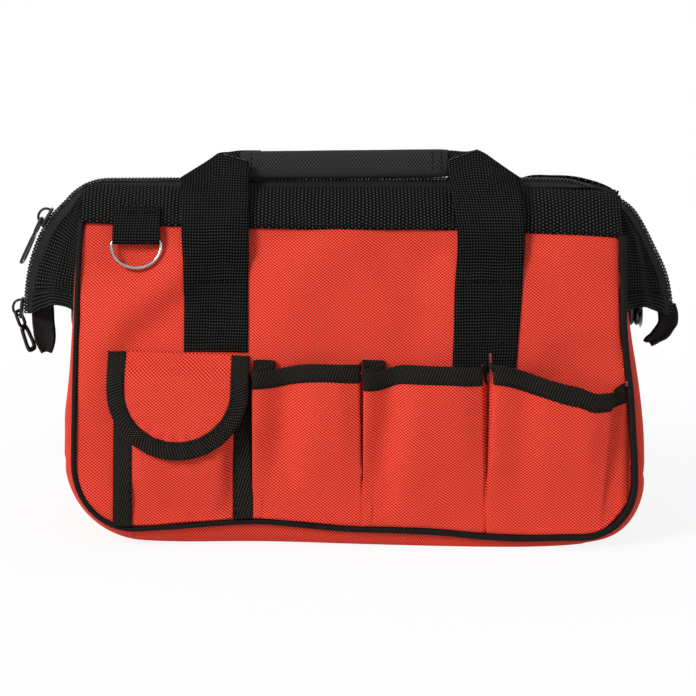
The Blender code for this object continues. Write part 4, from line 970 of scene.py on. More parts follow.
def strip_point(side, hand, stage, share):
    """Point of the side and bottom strip. stage 0 to 1 goes down the side and 1 to 2 round the lower corner.

    share is 0 at the centre plane and 1 at the piping.
    """
    weight = share * share
    radius = mixed(MIDDLE_CORNER_RADIUS[hand], CORNER_RADIUS[side, hand], weight)
    corner_z = SEAM_Z + radius
    turn = math.radians(90 * max(stage - 1, 0.0))
    z = mixed(GUSSET_TOP_Z, corner_z, min(stage, 1.0)) if stage <= 1 else corner_z
    x = mixed(edge_x(REAR, hand, z), edge_x(side, hand, z), weight)
    nx, nz = math.cos(turn), math.sin(turn)
    x += radius * (nx - 1) if stage > 1 else 0.0
    z -= radius * nz
    up = rise(side, hand * x, z) * smooth_step((share - 0.45) / 0.5)
    z += up
    return swollen(side, hand, x, z, nx, nz, share, through(SIDE_BULGE[hand], z), up)


def swollen(side, hand, x, z, nx, nz, share, bulge, up):
    """Moves a place of the strip out to the cloth's surface."""
    edge = half_depth(z) - 0.0012
    y = edge * share
    part = nz ** 8
    floor_roll = mixed(BOTTOM_ROLL[LEFT], BOTTOM_ROLL[RIGHT], smooth_step((hand * x + 0.07) / 0.14))
    roll = mixed(0.012, floor_roll, nz * nz)
    inset = min((edge - y) / roll, 1.0)
    curve = math.sqrt(max(1 - (1 - inset) ** 2, 0.0))
    lift = through(CORNER_LIFT, abs(x)) * smooth_step((y - 0.055) / 0.012)
    offset = mixed(bulge, SEAM_Z + up - lift, part)
    out = 0.0004 + (offset - 0.0004) * curve
    out += 0.0011 * wave(x, side * y, z, 19.0) * inset * nx
    out -= 0.0012 * soft_bump(z - SIDE_SEAM_Z[hand], 0.0016) * nx * inset
    out -= 0.006 * smooth_step((z - 0.128) / 0.01) * (1 - smooth_step((share - 0.8) / 0.1)) * nx
    clear = smooth_step((z - 0.085) / 0.015) * (1 - smooth_step((y - 0.012) / 0.012)) * nx
    x_out = x + nx * out
    x_out = mixed(x_out, min(x_out, PIVOT_CLEAR_X), clear)
    return placed(side, hand * x_out, y, max(z - nz * out, 0.0))


def make_side_half(side, hand, name, prefix):
    """Half of a side wall, from the centre plane to the piping."""
    shares = [0.0, 0.08, 0.16, 0.26, 0.38, 0.5, 0.62, 0.72, 0.79, 0.85, 0.9, 0.94, 0.97, 0.99, 1.0]
    seam = (GUSSET_TOP_Z - SIDE_SEAM_Z[hand]) / (GUSSET_TOP_Z - SEAM_Z - CORNER_RADIUS[side, hand])
    stages = spread(0, seam - 0.034, 24) + [seam + shift for shift in (-0.018, -0.008, 0.0, 0.008, 0.018)]
    stages = sorted(stage for stage in stages + [1.0] if stage <= 1.0) + spread(1, 2, 14)[1:]
    grid = [[strip_point(side, hand, stage, share) for share in shares] for stage in stages]
    hold = ("root", f"{prefix}_body", *blend_points(side, *SIDE_BLEND))
    cloth(f"{prefix}_{name}_side_cloth", grid, "red", hold, f"{name}_gusset", f"{prefix}_{name}_return")


def make_bottom():
    """Cloth under the bag, between the lower corners."""
    shares = [0.0, 0.25, 0.5, 0.7, 0.8, 0.87, 0.92, 0.95, 0.97, 0.985, 0.995, 1.0]
    across = [(REAR, s) for s in shares[::-1]] + [(FRONT, s) for s in shares[1:]]
    rows = []
    for step in spread(0, 1, 40):
        line = []
        for side, share in across:
            low, high = (strip_point(side, hand, 2.0, share).x for hand in (LEFT, RIGHT))
            x = mixed(low, high, step)
            up = rise(side, x, SEAM_Z) * smooth_step((share - 0.45) / 0.5)
            line.append(swollen(side, RIGHT, x, SEAM_Z + up, 0.0, 1.0, share, 0.0, up))
        rows.append(line)
    cloth("bottom_cloth", rows, "red", "root", "bottom_panel")


def leg_side(hand, z, u):
    """x of a front leg at height z, from its inner (0) to its outer edge (1)."""
    inner, outer = LEG_SIDES[hand]
    return hand * mixed(through(inner, z), through(outer, z), u)


def leg_distance(hand, z, u):
    """Distance of a front leg's outer face from the centre plane."""
    near = [face_distance(FRONT, leg_side(hand, z, part), min(z, 0.165)) for part in (u - 0.07, u, u + 0.07)]
    sewn = max(near) + WEBBING + 0.0006
    return mixed(sewn, through(LEG_LEAN, z), smooth_step((z - 0.156) / 0.012)) if z > 0.156 else sewn


def leg_point(hand, z, u, at=0.5, sway=0.0, out=0.0):
    """A point of a front leg's outer face, as far out as the leg is at the share given by at."""
    return Vector((leg_side(hand, z, u) + sway, -leg_distance(hand, z, at) - out, z))


def make_front_legs():
    """Webbing sewn up the panel that goes on over the band and ends in a slanting fold."""
    hinge = ((0, -0.04, HANDLE_START_Z + up) for up in (-0.002, 0.012))
    hold = ("front_body", "front_handle_body", *hinge)
    for hand, word in HANDS:
        low = STRAP_LOW_Z[hand]
        shares = spread(0, 1, 8)
        grid = []
        for z in spread(low, FOLD_Z, 28):
            line = []
            for u in shares:
                sway = 0.0005 * wave(u * 0.02, hand, z, 30.0)
                line.append(leg_point(hand, z, u, u, sway))
            grid.append(line)
        for part in spread(0, 1, 8)[1:]:
            grid.append([leg_point(hand, mixed(FOLD_Z, through(LEG_TOP[hand], u), part), u) for u in shares])
        cloth(f"front_{word}_leg_webbing", grid, "webbing_rows", hold, f"front_{word}_strap",
              "front_handle_webbing", thickness=WEBBING)
        normal = Vector((0, -0.95, 0.3))
        rows = [([leg_point(hand, z, u, u) for u in spread(0.06, 0.94, 8)], normal) for z in STRAP_STITCHES[hand]]
        stitches(f"front_{word}_strap_stitches", rows, "thread", "front_body")
        # A light line along the fold's edge: partly frayed fibres, partly a painted highlight on the edge.
        edge = [leg_point(hand, through(LEG_TOP[hand], u), u, out=0.0002) for u in spread(0.01, 0.45, 8)]
        stitches(f"front_{word}_fold_edge", [(edge, Vector((0, -1, 0.2)))], "fray_and_edge_highlight", "front_handle_body", 0.0032,
                 0.0006)


def make_sleeve(name, centre, along, square, ends, body, node):
    """Cloth wrapped round the folded webbing, a little uneven, with its seam lines."""
    points, uvs = [], []
    sides = 28
    stations = spread(*ends, 48)
    drop = SLEEVE_DROP if name.startswith("front") else (0.0, 0.0)

    def middle(x, u):
        """A point across the sleeve's width at x, u going from -1 to 1."""
        hang = mixed(*drop, (x - ends[0]) / (ends[1] - ends[0]))
        return centre + Vector((x, 0, 0)) + along * (SLEEVE_HALF[0] * u - hang)

    for x in stations:
        close = min((x - ends[0]) / 0.004, (ends[1] - x) / 0.004, 1.0)
        for k in range(sides):
            turn = 2 * math.pi * k / sides
            c, s = math.cos(turn), math.sin(turn)
            swell = 1 + 0.05 * wave(x, c * 0.01, s * 0.01, 45.0)
            flat = math.copysign(abs(c) ** SLEEVE_POWER, c)
            p = middle(x, flat * (0.97 + 0.03 * close))
            points.append(p + square * SLEEVE_HALF[1] * s * swell * (0.8 + 0.2 * close))
            uvs.append((x, turn * SLEEVE_HALF[0] * 0.7))
    piece = link_mesh(name, points, grid_faces(len(stations), sides, True), uvs, "grip", toward=centre)
    thicken(piece, FOLDED_CLOTH)
    attach(piece, body, node)
    rows = []
    for x in (ends[0] + SLEEVE_SEAMS[0], ends[1] - SLEEVE_SEAMS[1], ends[1] - SLEEVE_SEAMS[2]):
        for face in (1, -1):
            line = []
            for u in spread(-0.84, 0.84, 12):
                high = math.sqrt(1 - abs(u) ** (2 / SLEEVE_POWER)) * SLEEVE_HALF[1]
                line.append(middle(x, u) + square * face * high)
            rows.append((line, square * face))
    stitches(f"{name}_stitches", rows, "thread", body)


def make_front_grip():
    """The folded run behind the legs, and the sleeve round its middle."""
    low, high = (Vector((0, y, z)) for y, z in FRONT_GRIP_EDGES)
    along = (high - low).normalized()
    square = along.cross(Vector((1, 0, 0))).normalized()
    make_sleeve("front_grip_wrap", (low + high) / 2, along, square, GRIP_X, "front_handle_body", "front_grip")
    for hand, word in HANDS:
        grid = []
        end = abs(GRIP_X[0] if hand == LEFT else GRIP_X[1]) - 0.012
        for share in spread(0, 1, 24):
            x = mixed(through(LEG_SIDES[hand][1], 0.207) - 0.0006, end, share)
            u = (x - through(LEG_SIDES[hand][0], 0.207)) / 0.0396
            near = smooth_step((share - 0.3) / 0.45)
            z = max(through(LEG_TOP[hand], clamped(u)) - 0.0004, 0.2068)
            top = Vector((hand * x, -leg_distance(hand, z, 0.5) + WEBBING + 0.0006, z))
            foot = Vector((hand * x, -leg_distance(hand, 0.205, 0.5) + WEBBING + 0.0006, 0.2052))
            top = top.lerp(Vector((hand * x, high.y - 0.001, high.z - 0.001)), near)
            foot = foot.lerp(Vector((hand * x, low.y + 0.0008, low.z + 0.001)), near)
            line = []
            for v in spread(0, 1, 6):
                hump = 4 * v * (1 - v) * 0.0016 * near
                line.append(foot.lerp(top, v) + square * math.copysign(hump, square.z))
            grid.append(line)
        cloth(f"front_{word}_handle_run", grid, "webbing_columns", "front_handle_body", thickness=WEBBING,
              toward=Vector((0, 0.02, 0.2)))


def make_rear_handle():
    """The rear handle hangs down over the pockets."""
    middle, half = STRAP_X, STRAP_WIDTH / 2
    start = face_distance(REAR, middle, HANDLE_START_Z) + WEBBING + 0.0012
    bends = [(start, HANDLE_START_Z + 0.0012), *REAR_HANDLE_BENDS]
    profile = smooth_path([Vector((0, y, z)) for y, z in bends], 4)
    top = len(profile) - 1
    for hand, word in HANDS:
        heights = spread(0.1105, HANDLE_START_Z - 0.003, 6)
        sewn = [Vector((0, face_distance(REAR, hand * middle, z) + WEBBING + 0.0004, z)) for z in heights]
        grid = [[Vector((hand * x, p.y, p.z)) for x in spread(middle - half, middle + half, 6)] for p in sewn]
        cloth(f"rear_{word}_strap_webbing", grid, "webbing_rows", "rear_body", f"rear_{word}_strap",
              thickness=WEBBING)
        grid = []
        for k, p in enumerate(profile):
            away = max(k - (top - 7), 0) / 7
            line = []
            for u in spread(0, 1, 8):
                reach = 1 - 0.92 * max((u - 0.4) / 0.6, 0.0) * away
                q = profile[top - 7].lerp(p, reach) if away else p
                line.append(Vector((hand * (middle - half + STRAP_WIDTH * u), q.y, q.z)))
            grid.append(line)
        cloth(f"rear_{word}_leg_webbing", grid, "webbing_rows", "rear_handle_body", "rear_handle_webbing",
              thickness=WEBBING)
        across = spread(middle - half + 0.003, middle + half - 0.003, 8)
        rows = [([Vector((hand * x, p.y, p.z)) for x in across], Vector((0, 1, 0.3))) for p in sewn[1::2]]
        stitches(f"rear_{word}_strap_stitches", rows, "thread", "rear_body")
    along = (profile[-1] - profile[-6]).normalized()
    square = along.cross(Vector((1, 0, 0))).normalized()
    centre = (profile[-1] + profile[-8]) / 2 - square * math.copysign(0.0012, square.y)
    make_sleeve("rear_grip_wrap", centre, along, square, REAR_GRIP_X, "rear_handle_body", "rear_grip")
    across = spread(-REAR_RUN_HALF, REAR_RUN_HALF, 40)
    grid = [[Vector((x, p.y - 0.001, p.z)) for x in across] for p in profile[-8:]]
    cloth("rear_handle_run", grid, "webbing_columns", "rear_handle_body", thickness=WEBBING)


def ring_bar(side):
    """Place of a ring's straight bar: distance from the centre plane and height."""
    return Vector((0, half_depth(DRING_Z) + PANEL_BULGE * 0.06 + DRING_PROUD, DRING_Z))


def make_dring(side, hand, name, body):
    slope = (half_depth(DRING_Z - DRING_DROP) - half_depth(DRING_Z)) / DRING_DROP
    down = placed(side, 0, slope, -1).normalized()
    bar = ring_bar(side)
    start = placed(side, hand * DRING_X, bar.y, bar.z)
    flat, tall = DRING_HALF_WIDTH - DRING_CORNER, DRING_DROP - DRING_CORNER
    half = [(flat + DRING_CORNER * c, DRING_CORNER + DRING_CORNER * s) for _, c, s in turns(-90, 0, 8)]
    half += [(DRING_HALF_WIDTH * c, DRING_CORNER + tall * s) for _, c, s in turns(0, 90, 24)[1:]]
    outline = half + [(-u, v) for u, v in half[-2::-1]]
    path = [start + Vector((u, 0, 0)) + down * v for u, v in outline]
    tubes(f"{name}_wire", [path], DRING_WIRE, "chrome", body, name, sides=16, closed=True)


def make_tab(side, hand, name, body):
    """Webbing sewn to the band, down round the ring's bar and back up behind."""
    x = hand * DRING_X
    bar = ring_bar(side)
    lift = rise(side, x, 0.19)
    points = [Vector((0, d, z + lift)) for d, z in TAB_PROFILE]
    points += [bar + Vector((0, TAB_LOOP_RADIUS * c, TAB_LOOP_RADIUS * s)) for _, c, s in turns(20, -140, 8)]
    points += [Vector((0, d, z)) for d, z in TAB_BACK]
    grid = []
    for p in smooth_path(points, 2):
        grid.append([placed(side, x + u * TAB_HALF_WIDTH, p.y, p.z) for u in spread(-1, 1, 8)])
    cloth(f"{name}_webbing", grid, "webbing_rows", body, name, thickness=FOLDED_CLOTH,
          toward=placed(side, x, bar.y, bar.z))
    outward = placed(side, 0, 0.8, 0.6)
    rows = [([grid[k][0].lerp(grid[k][-1], u) + outward * 0.0002 for u in spread(0.08, 0.92, 6)], outward)
            for k in (1, 4)]
    stitches(f"{name}_stitches", rows, "thread", body)


def flap_hinge(x):
    return mixed(FLAP_HINGE[0], FLAP_HINGE[1], (x - FLAP_X[0]) / (FLAP_X[1] - FLAP_X[0]))


def flap_pocket_proud(x, z):
    fill = 0.12 + 0.88 * smooth_step((z - 0.012) / 0.04)
    part = through(FLAP_ACROSS, x)
    billow = 0.0008 * wave(x, 1.0, z, 26.0)
    valley = 0.0016 * soft_bump(x + 0.104 + (z - 0.03) * 0.25, 0.009) * smooth_step((0.06 - z) / 0.03)
    return 0.0012 + (FLAP_POCKET_DEPTH + billow - valley) * fill * part


def flap_proud(x, z):
    middle, reach = (FLAP_X[0] + FLAP_X[1]) / 2, (FLAP_X[1] - FLAP_X[0]) / 2
    u = min(abs((x - middle) / reach), 1.0)
    over = smooth_step((flap_hinge(x) + 0.001 - z) / 0.015)
    high = FLAP_POCKET_DEPTH * (1 - 0.24 * u ** 3) + 0.0055 + 0.0006 * wave(x, 2.0, z, 30.0)
    return 0.004 + (high - 0.004) * over


def make_flap_pocket():
    low, high = FLAP_POCKET_X
    columns = sorted([x for x, _ in FLAP_ACROSS] + spread(low + 0.0165, high - 0.02, 16))
    heights = [0.0128, 0.014] + spread(0.016, FLAP_POCKET_TOP, 24)
    grid = [[on_panel(FRONT, x, z, flap_pocket_proud(x, z)) for x in columns] for z in heights]
    cloth("flap_pocket_cloth", settled(grid, *FLAP_POCKET_SPARE), "red", "front_body", "flap_pocket", flat=True)

    def over(x, z, lift):
        return on_panel(FRONT, x, z, flap_pocket_proud(x, z) + lift)

    for word, inner, outer in (("left", low - 0.0004, low + 0.0108), ("right", high - 0.0112, high + 0.0004)):
        grid = [[over(x, z, 0.0012) for x in spread(inner, outer, 10)] for z in spread(0.0122, FLAP_POCKET_TOP, 30)]
        cloth(f"flap_pocket_{word}_tape", grid, "binding", "front_body", f"flap_pocket_{word}_binding")
        x = outer - 0.0012 if word == "left" else inner + 0.0012
        line = [over(x, z, 0.0011) for z in spread(0.014, FLAP_POCKET_TOP, 30)]
        stitches(f"flap_pocket_{word}_stitches", [(line, Vector((0, -1, 0.3)))], "thread", "front_body")


def flap_outline(trim):
    """Right half of the flap's edge, from the hinge down and round to the middle of its bottom: (x, z)."""
    reach = (FLAP_X[1] - FLAP_X[0]) / 2 - trim
    tall = FLAP_BEND_Z - FLAP_LOW_Z - trim
    half = [(reach, z) for z in spread(FLAP_HINGE[0], FLAP_BEND_Z, 9)]
    return half + [(reach * c, FLAP_BEND_Z - tall * s) for _, c, s in turns(0, 90, 22)[1:]]


def flap_point(x, z, lift=0.0):
    """A point of the flap from its even place, with the hinge's slant near the top."""
    middle = (FLAP_X[0] + FLAP_X[1]) / 2
    x += middle
    slant = (flap_hinge(x) - FLAP_HINGE[0]) * smooth_step((z - FLAP_BEND_Z) / (FLAP_HINGE[0] - FLAP_BEND_Z))
    angle = math.atan2(z - FLAP_BEND_Z, x - middle)
    pucker = 0.0005 * math.sin(angle * 21) * smooth_step((math.hypot(x - middle, z - FLAP_BEND_Z) - 0.018) / 0.01)
    return on_face(FRONT, x, z + slant, flap_proud(x, z) + lift + pucker)


def make_flap():
    grid = []
    for x, z in flap_outline(FLAP_CLOTH_TRIM)[:-1]:
        shares = spread(-1, 1, 20)
        grid.append([flap_point(x * share, z) for share in shares])
    middle = (FLAP_X[0] + FLAP_X[1]) / 2
    hinge = on_face(FRONT, middle, FLAP_HINGE[0])
    hold = ("front_body", "pocket_flap_body", *((0, hinge.y, FLAP_HINGE[0] - down) for down in (0.0007, 0.0067)))
    cloth("pocket_flap_cloth", grid, "red", hold, "pocket_flap", thickness=FLAP_CLOTH, flat=True)

    def around(trim, lift):
        half = flap_outline(trim)
        return [flap_point(x, z, lift) for x, z in half + [(-x, z) for x, z in half[-2::-1]]]

    cloth("pocket_flap_tape", [around(*row) for row in FLAP_BINDING_ROWS], "binding", hold, "pocket_flap_binding",
          thickness=FOLDED_CLOTH)
    line = around(BINDING_WIDTH - 0.0014, 0.001)[4:-4]
    stitches("pocket_flap_stitches", [(line, Vector((0, -0.97, 0.2)))], "thread", "pocket_flap_body")


def pocket_columns(spec):
    """Places across a pocket: (x at its bottom, x at its top, share of its depth, height above its edge)."""
    (seam0, seam0_top), (seam1, seam1_top) = spec["seams"]
    (face0, face0_top), (face1, face1_top) = spec["face"]
    pleat = spec.get("pleat", 0.0)
    seats = spec.get("seat", (0.0, 0.0))
    columns = []
    if pleat:
        for part, depth, extra in POCKET_PLEAT:
            columns.append((seam0 + pleat * 0.35 * part, seam0_top + pleat * part, depth, extra))
    else:
        for part, depth, extra in POCKET_LEFT:
            columns.append((mixed(seam0, face0, part), mixed(seam0_top, face0_top, part), max(depth, seats[0]),
                            extra if seats[0] == 0 else 0.0))
    columns += [(face0, face0_top, 0.86, 0.0), (face0 + 0.0012, face0_top + 0.0012, 0.96, 0.0)]
    for share in spread(0, 1, 18):
        low = mixed(face0 + 0.0036, face1 - 0.0036, share)
        top = mixed(face0_top + 0.0036, face1_top - 0.0036, share)
        columns.append((low, top, 1.0, 0.0))
    columns += [(face1 - 0.0008, face1_top - 0.0008, 0.99, 0.0), (face1, face1_top, 0.9, 0.0)]
    for part, depth, extra in (*POCKET_RIGHT, (1.0, 0.03, spec.get("back", 0.0))):
        columns.append((mixed(face1, seam1, part), mixed(face1_top, seam1_top, part), max(depth, seats[1]), extra))
    return columns


def pocket_floor(side, x):
    """Height of the piping's upper side at x, round the lower corners."""
    hand = LEFT if x < 0 else RIGHT
    radius = CORNER_RADIUS[side, hand]
    over = abs(x) - (edge_x(side, hand, SEAM_Z + radius) - radius)
    inner = radius - 0.0024
    if over <= 0:
        return SEAM_Z + 0.0024
    return SEAM_Z + radius - math.sqrt(max(inner ** 2 - over ** 2, 0.0))


def pocket_point(side, spec, column, share=None, down=0.0, lift=0.0):
    """A point of a pocket at a share of its height, or at a distance down from its upper edge."""
    low_x, top_x, part, extra = column
    top = through(spec["top"], top_x)
    floor = pocket_floor(side, low_x)
    if share is None:
        share = 1 - down / (top - floor)
    x = mixed(low_x, top_x, share)
    floor = pocket_floor(side, x) + rise(side, x, SEAM_Z)
    z = mixed(floor, top + extra, share)
    fill = 0.1 + 0.9 * smooth_step(share / 0.85)
    bottom_x, mouth_x, width, depth = spec["dent"]
    dent = depth * soft_bump(x - mixed(bottom_x, mouth_x, share), width) * smooth_step(share * 1.6)
    corner = mixed(spec["face"][1][0], spec["face"][1][1], share)
    turned = 0.003 * smooth_step(1 - (corner - x) / 0.013)
    belly = 0.0011 * wave(x, side * 6.0, z, 26.0) * fill - dent - turned * fill
    return on_face(side, x, z, 0.001 + (POCKET_DEPTH * fill + belly) * part + lift)


def make_pockets(side, prefix, body):
    specs = FRONT_POCKETS if side == FRONT else REAR_POCKETS
    for k, spec in enumerate(specs):
        columns = pocket_columns(spec)
        grid = [[pocket_point(side, spec, c, share) for c in columns] for share in spread(0, 1, 22)]
        name = f"{prefix}_pocket_{k + 1}"
        cloth(f"{name}_cloth", settled(grid, *POCKET_SPARE), "red", body, name, flat=True)
        rows = [[pocket_point(side, spec, c, None, down, lift * (0.4 + 0.6 * c[2])) for c in columns]
                for down, lift in BINDING_ROWS]
        cloth(f"{name}_tape", rows, "binding", body, f"{prefix}_pocket_binding", thickness=POCKET_BINDING)
        line = [pocket_point(side, spec, c, None, BINDING_WIDTH - 0.0014, 0.0011) for c in columns if c[2] > 0.9]
        stitches(f"{name}_stitches", [(line, Vector((0, side * 0.96, 0.28)))], "thread", body)


def make_bar_tacks(side, prefix, body):
    """Short dense zigzags of bright thread that hold the pockets' upper corners."""
    paths = []
    for x, high, tall, proud, proud_low in BAR_TACKS[side]:
        steps = int(tall / TACK_STEP)
        paths.append([on_face(side, x + TACK_SWING * (1 if k % 2 else -1), high - k * TACK_STEP,
                              mixed(proud, proud_low, k / steps)) for k in range(steps)])
    tubes(f"{prefix}_bar_tacks", paths, THREAD_RADIUS, "pink_thread", body, sides=5)


def slider_place(word):
    """Frame of a slider on the left side arc: place(along, across, out) gives a point."""
    turn = math.radians(SLIDER_ANGLE[word])
    radius = SLIDER_RADIUS[word]
    outward = Vector((-math.cos(turn), 0, math.sin(turn)))
    along = Vector((math.sin(turn), 0, math.cos(turn)))
    middle = Vector((-SIDE_ARC_CENTRE[0], 0, SIDE_ARC_CENTRE[1])) + outward * radius

    def place(t, y, n):
        return middle + along * t + Vector((0, y, 0)) + outward * n

    return place


def prism(name, outline, low, high, place, bevel, body, *nodes, hole=None):
    """A flat piece of metal with rounded edges and an outline in (u, v), or with a hole of as many points."""
    count = len(outline)
    points = [place(u, v, w) for w in (low, high) for u, v in outline]
    faces = []
    if hole is None:
        faces += [tuple(range(count)), tuple(range(count, 2 * count))]
    else:
        points += [place(u, v, w) for w in (low, high) for u, v in hole]
    for k in range(count):
        after = (k + 1) % count
        faces.append((k, after, after + count, k + count))
        if hole is not None:
            faces.append((k, after, after + 2 * count, k + 2 * count))
            faces.append((k + count, after + count, after + 3 * count, k + 3 * count))
            faces.append((k + 2 * count, after + 2 * count, after + 3 * count, k + 3 * count))
    piece = link_mesh(name, points, faces, [(p.x, p.z) for p in points], "dark_metal")
    edges = piece.modifiers.new("edges", "BEVEL")
    edges.width = bevel
    edges.segments = 2
    edges.limit_method = "ANGLE"
    edges.angle_limit = math.radians(BEVEL_ANGLE)
    attach(piece, body, *nodes)


def rounded(low, high, half_low, half_high):
    """A rounded strip from u = low to u = high, with its half widths at both ends."""
    shape = []
    for k in range(OUTLINE_POINTS):
        turn = 2 * math.pi * (k + 0.5) / OUTLINE_POINTS
        c, s = math.cos(turn), math.sin(turn)
        u = (low + high) / 2 + (high - low) / 2 * math.copysign(abs(c) ** 0.5, c)
        half = mixed(half_low, half_high, smooth_step((u - low) / (high - low)))
        shape.append((u, half * math.copysign(abs(s) ** 0.5, s)))
    return shape


def make_slider(word, body):
    """Slider with a rounded top plate and an arched crown."""
    place = slider_place(word)
    plate = rounded(*SLIDER_PLATE)
    prism(f"{word}_slider_plate", plate, *SLIDER_FACES, place, PLATE_BEVEL, body, f"{word}_slider")
    path = [place(CROWN[0] * c, 0, CROWN[1] + CROWN[2] * s ** 0.8) for _, c, s in turns(0, 180, 18)]
    tubes(f"{word}_slider_crown", [path], CROWN_RADIUS, "dark_metal", body, sides=12)


def make_pull(word, body):
    """Flat pull with a window round the crown and an open middle."""
    pivot = slider_place(word)(PULL_PIVOT[0], 0, PULL_PIVOT[1] - 0.0004)
    direction = Vector(PULL_DIRECTION[word]).normalized()
    spin = Matrix.Rotation(math.radians(PULL_TWIST[word]), 3, direction)
    across = spin @ Vector((0, 1, 0))
    normal = direction.cross(across)

    def place(u, v, w):
        return pivot + direction * u + across * v + normal * w

    end = PULL_LENGTH[word]
    faces = (-PULL_HALF_THICKNESS, PULL_HALF_THICKNESS)
    for part, nodes, outline, hole in (
            ("eye", (), (-0.001, 0.01, 0.0031, 0.0034), (0.0009, 0.0086, 0.0017, 0.0017)),
            ("bar", (f"{word}_pull",), (0.0092, end, 0.0034, 0.0043), (0.012, end - 0.0028, 0.0014, 0.0022))):
        prism(f"{word}_pull_{part}", rounded(*outline), *faces, place, PULL_BEVEL, body, *nodes,
              hole=rounded(*hole))


def make_end_tab(hand, name):
    """Folded tape past the zip's lower end, curling down to a rounded tip."""
    grid = []
    for share in spread(0, 1, 14):
        narrow = math.sqrt(max(1 - max((share - 0.62) / 0.38, 0.0) ** 2, 0.04))
        x, z = (through([(s, p[k]) for s, *p in END_TAB[hand]], share) for k in (0, 1))
        curl = 0.0022 * math.sin(math.pi * share) + 0.0005 * math.sin(17 * share)
        half = END_TAB_HALF_WIDTH[hand] * narrow
        grid.append([Vector((hand * (x + half * u), -curl - 0.001 + 0.0014 * (1 - u * u), z))
                     for u in spread(-1, 1, 8)])
    cloth(f"{name}_fold", grid, "tape", "carriage", name, thickness=END_TAB_CLOTH,
          toward=Vector((hand * 0.18, 0.1, 0.11)))


def studio_rays(graph):
    """1 for the rays that see a background: straight to the camera, in metal and through glass."""
    path = graph.add("ShaderNodeLightPath").outputs
    seen = graph.math("MAXIMUM", path["Is Camera Ray"], path["Is Glossy Ray"])
    return graph.math("MAXIMUM", seen, path["Is Transmission Ray"])


def make_stage():
    """A pale floor that fades to white in the picture and keeps a soft shadow."""
    corners = [Vector((x * FLOOR_HALF, y * FLOOR_HALF, 0)) for x, y in ((-1, -1), (1, -1), (1, 1), (-1, 1))]
    mesh = bpy.data.meshes.new("floor")
    mesh.from_pydata(corners, [], [(0, 1, 2, 3)])
    floor = linked("floor", mesh)
    graph = Graph(bpy.data.materials.new("pale_floor"))
    shade = graph.noise(graph.object_place(), 3.0, 2.0)
    mesh.materials.append(graph.finish(graph.mix(shade, (0.92, 0.92, 0.92), (0.95, 0.95, 0.95)), 0.9,
                                       Specular_IOR_Level=0.0))
    glow = graph.add("ShaderNodeEmission", {"Color": (1.0, 1.0, 1.0), "Strength": 1.0})
    far = graph.add("ShaderNodeVectorMath", {0: graph.object_place()}, operation="LENGTH").outputs["Value"]
    fade = {"From Min": FLOOR_FADE[0], "From Max": FLOOR_FADE[1], "To Min": FLOOR_GLOW[0], "To Max": FLOOR_GLOW[1]}
    away = graph.add("ShaderNodeMapRange", {"Value": far, **fade}).outputs[0]
    share = graph.math("MULTIPLY", studio_rays(graph), away)
    graph.show(share, glow.outputs[0], graph.shader.outputs[0], "Material Output")


def add_lamp(name, place, size, power):
    lamp = bpy.data.lights.new(name, "AREA")
    lamp.shape = "RECTANGLE"
    lamp.size, lamp.size_y = size
    lamp.energy = power
    holder = linked(name, lamp)
    holder.location = place
    holder.rotation_euler = (BAG_MIDDLE - Vector(place)).to_track_quat("-Z", "Y").to_euler()


def make_light():
    world = bpy.data.worlds.new("studio")
    bpy.context.scene.world = world
    graph = Graph(world)
    ambient = graph.tree.nodes["Background"]
    ambient.inputs["Color"].default_value = (1, 1, 1, 1)
    ambient.inputs["Strength"].default_value = AMBIENT
    seen = graph.add("ShaderNodeBackground", {"Color": (1.0, 1.0, 1.0), "Strength": 1.0})
    graph.show(studio_rays(graph), seen.outputs[0], ambient.outputs[0], "World Output")
    for lamp in LAMPS:
        add_lamp(*lamp)


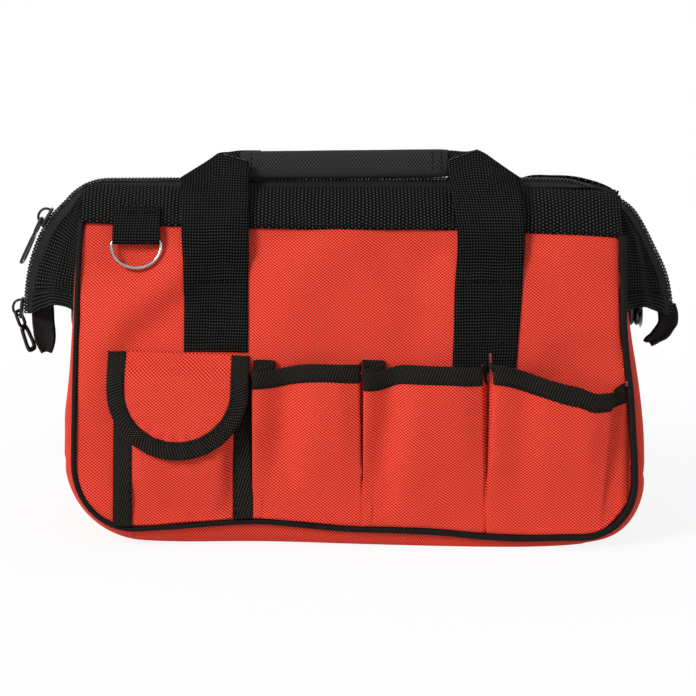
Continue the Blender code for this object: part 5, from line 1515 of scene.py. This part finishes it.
def make_camera():
    data = bpy.data.cameras.new("view")
    data.sensor_width = 36
    data.lens = LENS_PIXELS * data.sensor_width / FRAME_PIXELS
    data.shift_x = -(CENTRE_COLUMN - FRAME_PIXELS / 2) / FRAME_PIXELS
    data.shift_y = (TARGET_ROW - FRAME_PIXELS / 2) / FRAME_PIXELS
    camera = linked("view", data)
    tilt = math.radians(CAMERA_ELEVATION)
    camera.location = (0, -CAMERA_DISTANCE * math.cos(tilt), TARGET_Z + CAMERA_DISTANCE * math.sin(tilt))
    camera.rotation_euler = (math.pi / 2 - tilt, 0, 0)
    bpy.context.scene.camera = camera
    bpy.context.scene.view_settings.view_transform = "Standard"


def refinish_kept_nodes():
    """Rods, rivets and the base board keep their shape and get a finish."""
    for node in ("front_frame_rod", "rear_frame_rod", "left_pivot_rivet", "right_pivot_rivet", "base_board"):
        look = "board" if node == "base_board" else "dark_metal" if "rivet" in node else "steel"
        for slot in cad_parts[node].material_slots:
            slot.material = MATERIALS[look]


def make_bag():
    make_bottom()
    for side, prefix in ((FRONT, "front"), (REAR, "rear")):
        body, gate = f"{prefix}_body", f"{prefix}_gate"
        make_panel(side, f"{prefix}_panel", body)
        make_piping(side, f"{prefix}_piping", body)
        make_band(side, f"{prefix}_band", gate, body)
        make_coil(side, f"{prefix}_zip_coil", gate)
        make_tape(side, f"{prefix}_zip_tape", gate, body)
        for hand, word in HANDS:
            make_wing(side, hand, f"{prefix}_{word}_wing", gate, body)
            make_side_half(side, hand, word, prefix)
        make_pockets(side, prefix, body)
        make_bar_tacks(side, prefix, body)
    make_front_legs()
    make_front_grip()
    make_rear_handle()
    for side, hand, prefix in ((FRONT, LEFT, "front"), (REAR, RIGHT, "rear")):
        make_dring(side, hand, f"{prefix}_dring", f"{prefix}_dring_body")
        make_tab(side, hand, f"{prefix}_dring_tab", f"{prefix}_body")
    make_flap_pocket()
    make_flap()
    for word in ("upper", "lower"):
        make_slider(word, f"{word}_slider_body")
        make_pull(word, f"{word}_pull_body")
    for hand, word in HANDS:
        make_end_tab(hand, f"{word}_zip_end_tab")
    refinish_kept_nodes()


make_bag()
make_stage()
make_light()
make_camera()
